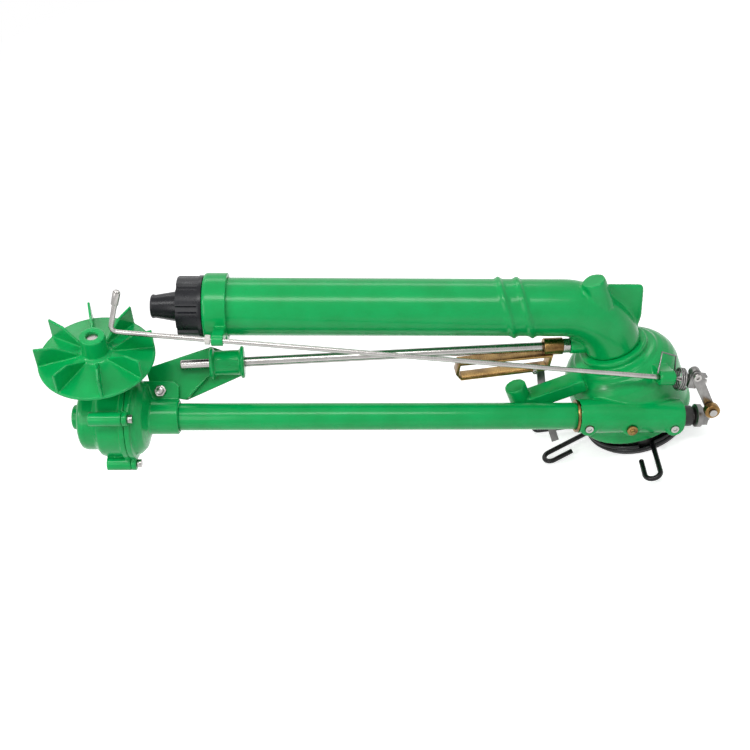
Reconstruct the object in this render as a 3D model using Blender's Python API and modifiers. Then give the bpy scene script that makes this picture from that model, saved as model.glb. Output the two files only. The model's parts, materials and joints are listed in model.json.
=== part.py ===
"""Large turbine-driven sprinkler gun, with a worm-turned head on a fixed inlet.

The origin is the centre of the inlet's bottom face, +Z is up, and the barrel points to -X and up.
Sizes are millimetres here and become metres where a mesh is made. A place on the gun is given as
(along, side, rise): along the barrel from where its axis meets the base axis, sideways to -Y, and
square to both.
"""

from math import atan, cos, pi, radians, sin, sqrt, tan

import bmesh
import bpy
from mathutils import Matrix, Vector

MM = 0.001
GAP = 0.3  # clearance left between pieces that touch
FINE = 24  # steps round a large turned piece
PLAIN = 14  # steps round a small turned piece

# Base
INLET_BORE = 31.0
INLET_LIP = 64.0
LIP_HEIGHT = 3.5
BASE_HEIGHT = 24.0
NECK_RADIUS = 38.0
NECK_TOP = 126.0
BOLT_CIRCLE = 48.0
BOLT_HOLE = 4.2
BOLT_DEPTH = 14.0
BOLT_COUNT = 6

# Stop rings
RING_SEAT = 60.0
STOP_RING = 65.0
STOP_WIRE = 3.25
STOP_PITCH = 6.2  # between the two wires' centres; the wires are six-sided here
STOP_HOOK = 9.5
STOP_RETURN = 27.0
NEAR_HOOK = (radians(177), radians(193), 62.0, 1)  # root's angle, leg's direction, leg's length, curl
FAR_HOOK = (radians(163), radians(161), 70.0, -1)
SIDE_HOOK = (radians(274), radians(264), 57.0, -1)
PLAIN_END = radians(259)

# Dome
DOME_RADIUS = 73.0
SHOULDER_RADIUS = DOME_RADIUS - 27.0  # on the neck, under the worm wheel
DOME_WALL = 6.5
DOME_TOP = 133.0
SKIRT_BOTTOM = 28.0
LIP_BEAD = DOME_RADIUS - 30.0
SEAL_HEIGHT = 3.4
COVER_THICK = 5.0

# Barrel
BARREL_PITCH = radians(24)
AXIS_CROSSING = 190.0
BARREL_RADIUS = 35.5
BARREL_WALL = 5.5
BARREL_BORE = BARREL_RADIUS - BARREL_WALL
BARREL_END = 489.0
ELBOW_BEND = 75.0
BEAD_TILT = radians(19)
BEAD_WIRE = 3.2
BEAD_PLACES = (119.0, 96.0)
SPIGOT_RADIUS = BARREL_RADIUS - 4.0
SPIGOT_LENGTH = 10.0
VANE_START = 150.0
VANE_END = VANE_START + 60.0
VANE_WALL = 1.6
COLLAR_RADIUS = BARREL_RADIUS + 5.5
COLLAR_START = BARREL_END - 29.0
FIN_THICK = 6.0
STUB_RADIUS = 15.5
STUB_TOP = 238.0

# Nozzle
NUT_RADIUS = BARREL_RADIUS + 1.5
NUT_GROOVE = NUT_RADIUS - 2.7
NUT_LENGTH = 30.0
NUT_LOBES = 8
NOZZLE_MOUTH = 11.0
NOZZLE_TIP = 14.0
NOZZLE_END = BARREL_END + 64.0

# Worm drive
DRIVE_SIDE = DOME_RADIUS - 3.0
DRIVE_RISE = -115.0
TUBE_RADIUS = 16.7
TUBE_BORE = 13.5
TUBE_START = 12.0
SHAFT_RADIUS = 6.0
HOUSING_RADIUS = 21.0
HOUSING_FRONT = 28.5
HOUSING_REAR = -102.0
WORM_PITCH_RADIUS = 10.0
WORM_LEAD = 6.28 / 60 * (DRIVE_SIDE - WORM_PITCH_RADIUS)  # in step with the wheel's teeth
THREAD_HEIGHT = 2.3
WHEEL_TEETH = 57
WHEEL_WIDTH = 18.0
CAM_RADIUS = 14.5
CAM_THROW = 3.5

# Gearbox
CASE_RADIUS = 47.5
CASE_SMALL = 39.5
CASE_WALL = 5.0
FLANGE_RADIUS = 51.5
JOINT_PLACE = 577.0
FLANGE_THICK = 6.0
LUG_RADIUS = 8.4
LUG_CIRCLE = 56.5
CASE_END = 636.0
SLEEVE_START = 519.0
PINION_TEETH = 5
PINION_HALF = 10.0
GEAR_TEETH = 15
GEAR_HALF = 8.0
GEAR_RADIUS = 15.0
TOOTH_TIP = 1.2
TOOTH_ROOT = 1.6

# Turbine
TURBINE_PLACE = 609.3
TURBINE_SIDE = DRIVE_SIDE - 4.0
TURBINE_RISE = -30.6
TURBINE_LEAN = radians(13.5)
TURBINE_RADIUS = 67.5
BLADE_COUNT = 8
BLADE_HEIGHT = 27.0
BLADE_THICK = 3.0
HUB_RADIUS = 14.7
HUB_HEIGHT = 34.0
TURBINE_SHAFT = 6.7

# Rock shaft, its frame and the trip arm
ROCK_REAR = (48.0, 8.0, -50.5)
ROCK_FRONT = (520.0, 32.0, -64.5)
ROCK_RADIUS = 6.2
FRAME_WIDTH = 18.0
FRAME_STRIP = 3.0
BUSH_RADIUS = 15.5
BUSH_BEAD = 20.0
BUSH_PLACE = 463.0
BUSH_LENGTH = 42.0
BRACKET_THICK = 6.0
TRIP_WIDTH = 10.0
TRIP_THICK = 5.0
TRIP_PLACE = -1.0
TRIP_REACH = 18.4

# Jet breaker
BREAKER_REAR = (-73.0, DRIVE_SIDE + 6.0, -54.5)
BREAKER_FRONT = (591.0, DRIVE_SIDE + 0.6, 6.0)
BREAKER_RADIUS = 3.0
BREAKER_TIP = 54.0
TIP_LEAN = 9.0
SPRING_WIRE = 1.1
SPRING_RADIUS = 13.0
SPRING_TURNS = 3.5
SPRING_PITCH = 2.6
ROLLER_RADIUS = 9.2
ROLLER_WIDTH = 10.0

UP = Vector((0, 0, 1))
ALONG = Vector((-cos(BARREL_PITCH), 0, sin(BARREL_PITCH)))
SIDE = Vector((0, -1, 0))
RISE = Vector((sin(BARREL_PITCH), 0, cos(BARREL_PITCH)))

COLOURS = {
    "green": ((0.015, 0.36, 0.085, 1), 0.3, 0.0),
    "steel": ((0.62, 0.6, 0.57, 1), 0.28, 1.0),
    "brass": ((0.55, 0.36, 0.1, 1), 0.35, 1.0),
    "black": ((0.012, 0.012, 0.014, 1), 0.4, 0.0),
    "plastic": ((0.02, 0.022, 0.028, 1), 0.35, 0.0),
    "iron": ((0.2, 0.2, 0.2, 1), 0.5, 1.0),
    "rubber": ((0.02, 0.02, 0.02, 1), 0.8, 0.0),
    "white": ((0.7, 0.68, 0.64, 1), 0.5, 0.0),
}


def gun(along, side, rise):
    """A place on the gun, in world millimetres."""
    return Vector((0, 0, AXIS_CROSSING)) + along * ALONG + side * SIDE + rise * RISE


def frame(origin, z_axis, x_hint):
    """A placement with its Z along z_axis and its X near x_hint."""
    z = z_axis.normalized()
    x = (x_hint - x_hint.dot(z) * z).normalized()
    matrix = Matrix((x, z.cross(x), z)).transposed().to_4x4()
    matrix.translation = origin * MM
    return matrix


WORLD = Matrix.Identity(4)
GUN = frame(gun(0, 0, 0), RISE, ALONG)
BARREL = frame(gun(0, 0, 0), ALONG, RISE)
DRIVE = frame(gun(0, DRIVE_SIDE, DRIVE_RISE), ALONG, RISE)
TURBINE_AXIS = cos(TURBINE_LEAN) * RISE + sin(TURBINE_LEAN) * SIDE
TURBINE = frame(gun(TURBINE_PLACE, TURBINE_SIDE, TURBINE_RISE), TURBINE_AXIS, ALONG)
WHEEL_CENTRE = AXIS_CROSSING + DRIVE_RISE / cos(BARREL_PITCH)
WORM_PLACE = DRIVE_RISE * tan(BARREL_PITCH)
WHEEL_BOTTOM = WHEEL_CENTRE - WHEEL_WIDTH / 2


def line_frame(rear, front):
    """A placement whose Z runs from rear to front, with z equal to 0 where along is 0."""
    start = gun(*rear)
    axis = (gun(*front) - start).normalized()
    origin = start - axis * (rear[0] / axis.dot(ALONG))
    return frame(origin, axis, RISE)


ROCK = line_frame(ROCK_REAR, ROCK_FRONT)
BREAKER = line_frame(BREAKER_REAR, BREAKER_FRONT)


def make_collection(name):
    collection = bpy.data.collections.new(name)
    bpy.context.scene.collection.children.link(collection)
    return collection


def make_material(name, kind):
    colour, roughness, metallic = COLOURS[kind]
    material = bpy.data.materials.new(name)
    material.use_nodes = True
    shader = material.node_tree.nodes["Principled BSDF"]
    shader.inputs["Base Color"].default_value = colour
    shader.inputs["Roughness"].default_value = roughness
    shader.inputs["Metallic"].default_value = metallic
    material.diffuse_color = colour
    return material


def add_empty(name, place):
    """An empty on a joint's axis, which carries what the joint moves."""
    empty = bpy.data.objects.new(name, None)
    empty.matrix_basis = place
    empty.empty_display_size = 0.02
    PARTS.objects.link(empty)
    return empty


def add_object(name, mesh, place, kind=None, carrier=None):
    """A part with its own material, or a cutter when no kind is given."""
    body = bpy.data.objects.new(name, mesh)
    if kind is None:
        CUTTERS.objects.link(body)
        body.hide_render = True
        body.display_type = "WIRE"
    else:
        PARTS.objects.link(body)
        mesh.materials.append(make_material(name, kind))
    if carrier is not None:
        body.parent = carrier
        body.matrix_parent_inverse = carrier.matrix_basis.inverted()
    body.matrix_basis = place
    return body


def mesh_from(build, name):
    mesh = bpy.data.meshes.new(name)
    build.to_mesh(mesh)
    build.free()
    return mesh


def turned(name, outline, place, kind=None, carrier=None, steps=FINE, closed=False):
    """A solid of revolution about the placement's Z, from (radius, height) down its outer side."""
    mesh = bpy.data.meshes.new(name)
    edges = [(i, i + 1) for i in range(len(outline) - 1)]
    if closed:
        edges.append((len(outline) - 1, 0))
    mesh.from_pydata([(r * MM, 0, z * MM) for r, z in outline], edges, [])
    body = add_object(name, mesh, place, kind, carrier)
    screw = body.modifiers.new("Turn", "SCREW")
    screw.steps = steps
    screw.render_steps = steps
    screw.use_merge_vertices = True
    screw.merge_threshold = 0.00001
    return body


def rod(name, radius, low, high, place, kind=None, carrier=None, steps=PLAIN):
    """A cylinder along the placement's Z, from height low to high."""
    build = bmesh.new()
    bmesh.ops.create_cone(build, cap_ends=True, segments=steps, radius1=radius * MM, radius2=radius * MM,
                          depth=(high - low) * MM)
    bmesh.ops.rotate(build, cent=(0, 0, 0), matrix=Matrix.Rotation(pi / 2, 3, "Z"), verts=build.verts)
    bmesh.ops.translate(build, vec=(0, 0, (low + high) / 2 * MM), verts=build.verts)
    return add_object(name, mesh_from(build, name), place, kind, carrier)


def ring(name, inner, outer, low, high, place, kind=None, carrier=None, steps=FINE):
    outline = [(inner, high), (outer, high), (outer, low), (inner, low)]
    return turned(name, outline, place, kind, carrier, steps, closed=True)


def block(name, low, high, place, kind=None, carrier=None):
    build = bmesh.new()
    bmesh.ops.create_cube(build, size=1)
    size = [(b - a) * MM for a, b in zip(low, high)]
    middle = [(a + b) / 2 * MM for a, b in zip(low, high)]
    bmesh.ops.scale(build, vec=size, verts=build.verts)
    bmesh.ops.translate(build, vec=middle, verts=build.verts)
    return add_object(name, mesh_from(build, name), place, kind, carrier)


def welded(curve_object, name):
    """The curve's evaluated mesh with its caps welded on."""
    shape = curve_object.evaluated_get(bpy.context.evaluated_depsgraph_get())
    mesh = bpy.data.meshes.new_from_object(shape)
    mesh.materials.clear()
    build = bmesh.new()
    build.from_mesh(mesh)
    bmesh.ops.remove_doubles(build, verts=build.verts, dist=0.000001)
    bmesh.ops.recalc_face_normals(build, faces=build.faces)
    build.to_mesh(mesh)
    build.free()
    mesh.name = name
    bpy.data.objects.remove(curve_object)
    return mesh


def curve_object(name, splines, flat=False):
    curve = bpy.data.curves.new(name, "CURVE")
    curve.dimensions = "2D" if flat else "3D"
    for points, cyclic in splines:
        spline = curve.splines.new("POLY")
        spline.points.add(len(points) - 1)
        for target, point in zip(spline.points, points):
            values = [v * MM for v in point] + [0] * (3 - len(point))
            target.co = (*values, 1)
        spline.use_cyclic_u = cyclic
    body = bpy.data.objects.new(name, curve)
    CUTTERS.objects.link(body)
    return body


def plate(name, outline, low, high, place, kind=None, carrier=None):
    """A flat outline in the placement's XY plane, from height low to high."""
    body = curve_object(name, [(outline, True)], flat=True)
    body.data.fill_mode = "BOTH"
    body.data.extrude = (high - low) / 2 * MM
    bpy.context.view_layer.update()
    mesh = welded(body, name)
    mesh.transform(Matrix.Translation((0, 0, (low + high) / 2 * MM)))
    return add_object(name, mesh, place, kind, carrier)


def swept(name, points, radius, place, kind=None, carrier=None, cyclic=False, sides=2):
    """A round bar along the points, with flat closed ends."""
    body = curve_object(name, [(points, cyclic)])
    body.data.bevel_depth = radius * MM
    body.data.bevel_resolution = sides
    body.data.use_fill_caps = not cyclic
    bpy.context.view_layer.update()
    return add_object(name, welded(body, name), place, kind, carrier)


def rounded(corners, radius, arc_steps=6):
    """The corners' path with each inner corner made an arc."""
    corners = [Vector(c) for c in corners]
    path = [corners[0]]
    for before, here, after in zip(corners, corners[1:], corners[2:]):
        back = (before - here).normalized()
        ahead = (after - here).normalized()
        half = back.angle(ahead) / 2
        reach = radius / tan(half)
        centre = here + (back + ahead).normalized() * (radius / sin(half))
        start = here + back * reach - centre
        end = here + ahead * reach - centre
        turn = start.angle(end)
        for i in range(arc_steps + 1):
            share = i / arc_steps
            mix = start * sin((1 - share) * turn) + end * sin(share * turn)
            path.append(centre + mix / sin(turn))
    path.append(corners[-1])
    return path


def arc(centre, radius, start, end, steps):
    """Points on a flat arc, from angle start to angle end."""
    angles = [start + (end - start) * i / steps for i in range(steps + 1)]
    return [(centre[0] + radius * cos(a), centre[1] + radius * sin(a)) for a in angles]


def combine(body, other, operation):
    change = body.modifiers.new(other.name, "BOOLEAN")
    change.operation = operation
    change.object = other
    change.solver = "EXACT"
    return body


def join(body, *others):
    for other in others:
        combine(body, other, "UNION")
    return body


def cut(body, *others):
    for other in others:
        combine(body, other, "DIFFERENCE")
    return body


def hexagon(name, radius, low, high, place, kind=None, carrier=None):
    outline = arc((0, 0), radius, 0, 2 * pi * 5 / 6, 5)
    return plate(name, outline, low, high, place, kind, carrier)


def toothed(teeth, root, tip, phase, share=0.42):
    """A gear outline: each tooth takes the share of its pitch at the root and half of that at the tip."""
    pitch = 2 * pi / teeth
    points = []
    for k in range(teeth):
        middle = phase + k * pitch
        for radius, offset in ((root, -share), (tip, -share / 2), (tip, share / 2), (root, share)):
            angle = middle + offset * pitch
            points.append((radius * cos(angle), radius * sin(angle)))
    return points


def loft(name, outlines, bore, place, kind, carrier):
    """Outlines of one point count at rising heights, joined by faces, with a round bore."""
    build = bmesh.new()
    rings = []
    for outline, height in outlines:
        rings.append([build.verts.new((x * MM, y * MM, height * MM)) for x, y in outline])
    for lower, upper in zip(rings, rings[1:]):
        count = len(lower)
        for i in range(count):
            j = (i + 1) % count
            build.faces.new((lower[i], lower[j], upper[j], upper[i]))
    build.faces.new(list(reversed(rings[0])))
    build.faces.new(rings[-1])
    body = add_object(name, mesh_from(build, name), place, kind, carrier)
    low = outlines[0][1] - 1
    high = outlines[-1][1] + 1
    if bore:
        cut(body, rod(name + "_bore", bore, low, high, place, steps=FINE if bore > 20 else PLAIN))
    return body


def make_base():
    """The fixed inlet with its neck, and the worm wheel and lock ring on it."""
    outline = [
        (NECK_RADIUS, NECK_TOP),
        (NECK_RADIUS, 84),
        (SHOULDER_RADIUS, 84),
        (SHOULDER_RADIUS, WHEEL_BOTTOM - GAP),
        (SHOULDER_RADIUS + 6, WHEEL_BOTTOM - GAP),
        (SHOULDER_RADIUS + 6, BASE_HEIGHT),
        (RING_SEAT, BASE_HEIGHT),
        (RING_SEAT, LIP_HEIGHT),
        (INLET_LIP, LIP_HEIGHT),
        (INLET_LIP, 0),
        (INLET_BORE, 0),
        (INLET_BORE, NECK_TOP),
    ]
    base = turned("inlet_base", outline, WORLD, "iron", closed=True)
    for k in range(BOLT_COUNT):
        angle = 2 * pi * (k + 0.5) / BOLT_COUNT
        spot = Vector((BOLT_CIRCLE * cos(angle), BOLT_CIRCLE * sin(angle), 0))
        hole = rod(f"inlet_bolt_hole_{k}", BOLT_HOLE, -1, BOLT_DEPTH, frame(spot, UP, ALONG), steps=18)
        cut(base, hole)
    make_worm_wheel()
    low = WHEEL_BOTTOM + WHEEL_WIDTH + GAP
    ring("wheel_lock_ring", SHOULDER_RADIUS + GAP, SHOULDER_RADIUS + 9, low, low + 7, WORLD, "steel")


def worm_helix():
    """The wheel's tooth slant against its axis, from the crossed shafts and the worm's lead."""
    lead_angle = atan(WORM_LEAD / (2 * pi * WORM_PITCH_RADIUS))
    return BARREL_PITCH - lead_angle


def make_worm_wheel():
    """Slanted teeth that run in the thread of the worm, which crosses at the barrel's pitch."""
    tip = DRIVE_SIDE - WORM_PITCH_RADIUS - THREAD_HEIGHT / 2 + 0.6
    root = tip - 3
    slant = tan(worm_helix()) * WHEEL_WIDTH / tip
    layers = []
    for share in (-0.5, 0.5):
        phase = -pi / 2 + WHEEL_PHASE + slant * share
        layers.append((toothed(WHEEL_TEETH, root, tip, phase, 0.21), WHEEL_CENTRE + share * WHEEL_WIDTH))
    loft("worm_wheel", layers, SHOULDER_RADIUS + GAP, WORLD, "brass", None)


WHEEL_PHASE = pi / WHEEL_TEETH


def hook_path(hook, next_angle):
    """A stop's end from its free tip round the curl, in along the leg, to the ring."""
    root, lean, length, curl = hook
    start = Vector((STOP_RING * cos(root), STOP_RING * sin(root)))
    ahead = Vector((cos(lean), sin(lean)))
    across = Vector((-ahead.y, ahead.x)) * curl
    out = start + ahead * length
    path = [out + across * 2 * STOP_HOOK - ahead * STOP_RETURN]
    for i in range(6):
        angle = pi * (1 - i / 5)
        path.append(out + across * STOP_HOOK * (1 - cos(angle)) + ahead * STOP_HOOK * sin(angle))
    follow = Vector((STOP_RING * cos(next_angle), STOP_RING * sin(next_angle)))
    bend = rounded([p.to_3d() for p in (out, start, follow)], 4, 3)
    return path + [p.to_2d() for p in bend[1:-1]]


def stop_path(first, last, height):
    """One wire: hooked at its first end, nearly a full ring, and hooked or plain at its last end."""
    steps = 22
    hooked = isinstance(last, tuple)
    start = first[0]
    end = (last[0] if hooked else last) + (2 * pi if first[3] > 0 else 0)
    angles = [start + (end - start) * i / steps for i in range(steps + 1)]
    ring_points = [Vector((STOP_RING * cos(a), STOP_RING * sin(a))) for a in angles]
    if hooked:
        tail = list(reversed(hook_path(last, angles[-2])))
        ring_points = ring_points[:-1] + tail
    points = hook_path(first, angles[1]) + ring_points[1:]
    return [Vector((p.x, p.y, height)) for p in points]


def make_stops():
    low = LIP_HEIGHT + GAP + STOP_WIRE
    high = low + STOP_PITCH
    lower = add_empty("lower_stop_axis", WORLD)
    upper = add_empty("upper_stop_axis", WORLD)
    path = stop_path(NEAR_HOOK, FAR_HOOK, low)
    swept("lower_stop_ring", path, STOP_WIRE, WORLD, "black", lower, sides=1)
    path = stop_path(SIDE_HOOK, PLAIN_END + 2 * pi, high)
    swept("upper_stop_ring", path, STOP_WIRE, WORLD, "black", upper, sides=1)


def make_dome():
    """The bell-shaped casting with the worm's housing, its screw bosses, the rod lug and the detent arm."""
    outline = [
        (0, DOME_TOP),
        (LIP_BEAD - 1.5, DOME_TOP),
        (LIP_BEAD, DOME_TOP - 1.5),
        (LIP_BEAD, DOME_TOP - 5.5),
        (LIP_BEAD - 2, DOME_TOP - 7),
        (LIP_BEAD + 1, DOME_TOP - 9.5),
        (LIP_BEAD + 9, DOME_TOP - 11),
        (LIP_BEAD + 10.5, DOME_TOP - 14),
        (LIP_BEAD + 16, DOME_TOP - 16.5),
        (LIP_BEAD + 22, DOME_TOP - 22),
        (DOME_RADIUS - 3, DOME_TOP - 30),
        (DOME_RADIUS - 0.5, DOME_TOP - 40),
        (DOME_RADIUS, DOME_TOP - 55),
        (DOME_RADIUS, SKIRT_BOTTOM + 12),
        (DOME_RADIUS + 2, SKIRT_BOTTOM + 6),
        (DOME_RADIUS + 2, SKIRT_BOTTOM),
        (0, SKIRT_BOTTOM),
    ]
    dome = turned("dome_housing", outline, WORLD, "green", HEAD)
    join(dome, rod("worm_housing_shape", HOUSING_RADIUS, HOUSING_REAR, HOUSING_FRONT, DRIVE, steps=FINE))
    slab_low = (DRIVE_RISE - 19, -DRIVE_SIDE - 9, HOUSING_REAR + 3)
    slab_high = (DRIVE_RISE, -DRIVE_SIDE + 12, HOUSING_FRONT - 2)
    join(dome, block("housing_web", slab_low, slab_high, frame(gun(0, 0, 0), ALONG, RISE)))
    for k, along in enumerate(BOSS_PLACES):
        join(dome, rod(f"housing_boss_{k}", 10.5, -28, 0, boss_frame(along)))
    join(dome, *lug_shapes("dome_lug", breaker_at(-71.0), (42.0, -64.0), 19.0, 9.0))
    join(dome, block("detent_arm", (-130, -50, 115), (-50, -32, 131), WORLD))
    detent = frame(Vector((-133, -41, 0)), UP, ALONG)
    join(dome, rod("detent_cup", 11.5, 115, 151, detent))
    cavity = [
        (0, DOME_TOP + 5),
        (INLET_BORE, DOME_TOP + 5),
        (INLET_BORE, DOME_TOP - 3),
        (NECK_RADIUS + GAP, DOME_TOP - 3),
        (NECK_RADIUS + GAP, 113),
        (NECK_RADIUS + 4, 113),
        (NECK_RADIUS + 4, 96.5),
        (DOME_RADIUS - 12, 96.5),
        (DOME_RADIUS - DOME_WALL, 91),
        (DOME_RADIUS - DOME_WALL, SKIRT_BOTTOM - 5),
        (0, SKIRT_BOTTOM - 5),
    ]
    cut(dome, turned("dome_cavity", cavity, WORLD))
    cut(dome, rod("worm_bore", 14.5, HOUSING_REAR + 18, 10, DRIVE, steps=FINE))
    cut(dome, rod("tube_seat", 19 + 2 * GAP, 4, HOUSING_FRONT + 5, DRIVE, steps=FINE))
    cut(dome, rod("rear_bush_seat", 10 + GAP, HOUSING_REAR - 5, HOUSING_REAR + 20, DRIVE))
    for k, along in enumerate(BOSS_PLACES):
        cut(dome, rod(f"boss_hole_{k}", 5 + GAP, -BOSS_DEPTH - GAP, 5, boss_frame(along)))
    cut(dome, rod("dome_lug_hole", BREAKER_RADIUS + GAP, BREAKER_REAR[0] - 12, BREAKER_REAR[0] + 12, BREAKER))


BOSS_PLACES = (17.0, -36.0, -90.0)
BOSS_RISE = -120.5
BOSS_FACE = DRIVE_SIDE + HOUSING_RADIUS + 0.5
BOSS_DEPTH = 2.2


def boss_frame(along):
    """A placement on a boss's face, with Z pointing out of it."""
    return frame(gun(along, BOSS_FACE, BOSS_RISE), SIDE, ALONG)


def lug_shapes(name, hole, root, length, radius):
    """A finger from its root to round the hole, as a bar and a round end, square to the barrel."""
    along, side, rise = hole
    place = frame(gun(along, side, rise), ALONG, RISE)
    bar_x = root[1] - rise
    bar_y = side - root[0]
    reach = sqrt(bar_x * bar_x + bar_y * bar_y)
    nx = -bar_y / reach * radius
    ny = bar_x / reach * radius
    outline = [(nx, ny), (-nx, -ny), (bar_x - nx, bar_y - ny), (bar_x + nx, bar_y + ny)]
    bar = plate(name + "_bar", outline, -length / 2, length / 2, place)
    end = rod(name + "_end", radius, -length / 2 + 0.01, length / 2 - 0.01, place)
    return bar, end


def make_dome_fittings():
    """The seal, bushes, cover and plugs that the dome holds."""
    low = NECK_TOP + GAP
    ring("swivel_seal", INLET_BORE + GAP, NECK_RADIUS, low, low + SEAL_HEIGHT, WORLD, "rubber", HEAD)
    ring("neck_bush", NECK_RADIUS + 2 * GAP, NECK_RADIUS + 4 - GAP, 97, 112.5, WORLD, "brass", HEAD)
    cover_outer = DOME_RADIUS - DOME_WALL - GAP
    cover_low = SKIRT_BOTTOM + 2
    ring("bottom_cover", SHOULDER_RADIUS + 6.5, cover_outer, cover_low, cover_low + COVER_THICK, WORLD, "steel",
         HEAD)
    bush_outline = [
        (TUBE_RADIUS + GAP, HOUSING_FRONT + 3),
        (20.3, HOUSING_FRONT + 3),
        (20.3, HOUSING_FRONT + GAP),
        (19, HOUSING_FRONT + GAP),
        (19, 11),
        (TUBE_RADIUS + GAP, 11),
    ]
    turned("tube_bush", bush_outline, DRIVE, "brass", HEAD, closed=True)
    rear = HOUSING_REAR
    bush_outline = [
        (SHAFT_RADIUS + GAP, rear + 17.5),
        (10, rear + 17.5),
        (10, rear - GAP),
        (13, rear - GAP),
        (13, rear - 12),
        (12, rear - 13),
        (SHAFT_RADIUS + GAP, rear - 13),
    ]
    turned("rear_bush", bush_outline, DRIVE, "iron", HEAD, PLAIN, closed=True)
    for name, along in (("front_socket_screw", BOSS_PLACES[0]), ("rear_socket_screw", BOSS_PLACES[2])):
        screw = rod(name, 5, -BOSS_DEPTH, 0.6, boss_frame(along), "steel", HEAD)
        cut(screw, hexagon(name + "_socket", 2.9, -1.3, 2, boss_frame(along)))
    outline = [(0, 8), (2.6, 8), (2.6, 5.5), (3.4, 5), (3.4, 3.5), (6.5, 3.5), (6.5, GAP), (5, GAP),
               (5, -BOSS_DEPTH), (0, -BOSS_DEPTH)]
    turned("grease_plug", outline, boss_frame(BOSS_PLACES[1]), "brass", HEAD, PLAIN)


def make_barrel():
    """The elbow and barrel casting with its fin, stub, slanted beads and rock shaft boss."""
    bottom = DOME_TOP + GAP - AXIS_CROSSING
    foot = (sin(BARREL_PITCH) * bottom, 0, cos(BARREL_PITCH) * bottom)
    path = rounded([foot, (0, 0, 0), (BARREL_END, 0, 0)], ELBOW_BEND, 7)
    barrel = swept("barrel_casting", path, BARREL_RADIUS, GUN, "green", HEAD, sides=7)
    for k, along in enumerate(BEAD_PLACES):
        angles = [2 * pi * i / 20 for i in range(20)]
        loop = [(along + tan(BEAD_TILT) * BARREL_RADIUS * sin(a), BARREL_RADIUS * cos(a), BARREL_RADIUS * sin(a))
                for a in angles]
        join(barrel, swept(f"barrel_bead_{k}", loop, BEAD_WIRE, GUN, cyclic=True, sides=1))
    corner = arc((-44, 28), 5, pi / 2, pi, 3)
    outline = [(14, 20), (14, 33)] + corner + [(-53, -10), (-50, -32), (-22, -24)]
    fin = plate("barrel_fin", outline, -FIN_THICK / 2, FIN_THICK / 2, frame(gun(0, 0, 0), -SIDE, ALONG))
    stub = turned("elbow_stub", [(0, STUB_TOP), (STUB_RADIUS - 1.2, STUB_TOP), (STUB_RADIUS, 200), (0, 200)],
                  frame(Vector((1, -12, 0)), UP, ALONG))
    boss = rod("rock_boss", ROCK_RADIUS + 4.5, 6, 34.5, ROCK)
    spigot = rod("barrel_spigot", SPIGOT_RADIUS, BARREL_END - 5, BARREL_END + SPIGOT_LENGTH, BARREL, steps=FINE)
    join(barrel, fin, stub, boss, spigot)
    cut(barrel, rod("rock_boss_hole", ROCK_RADIUS + 2 * GAP, 22.5, 40, ROCK))
    low = Vector(foot) - Vector((sin(BARREL_PITCH), 0, cos(BARREL_PITCH))) * 5
    bore = rounded([low, (0, 0, 0), (BARREL_END + SPIGOT_LENGTH + 5, 0, 0)], ELBOW_BEND, 7)
    cut(barrel, swept("barrel_bore", bore, BARREL_BORE, GUN, sides=6))


def make_collar():
    """The ring at the barrel's front, with the lug that guides the breaker rod."""
    end = BARREL_END - 0.4
    inner = BARREL_RADIUS + GAP
    outline = [(inner, end), (COLLAR_RADIUS - 3.5, end), (COLLAR_RADIUS - 1, end - 1.5), (COLLAR_RADIUS, end - 4),
               (COLLAR_RADIUS, COLLAR_START), (inner, COLLAR_START)]
    collar = turned("barrel_collar", outline, BARREL, "green", HEAD, closed=True)
    hole = breaker_at(COLLAR_START + 7)
    join(collar, *lug_shapes("collar_lug", hole, (COLLAR_RADIUS - 2.5, -12.0), 13.8, 6.5))
    cut(collar, rod("collar_lug_hole", BREAKER_RADIUS + GAP, COLLAR_START - 3, COLLAR_START + 17, BREAKER))


def breaker_at(along):
    """The breaker rod's axis at a place along the barrel."""
    share = (along - BREAKER_REAR[0]) / (BREAKER_FRONT[0] - BREAKER_REAR[0])
    return tuple(a + (b - a) * share for a, b in zip(BREAKER_REAR, BREAKER_FRONT))


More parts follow.
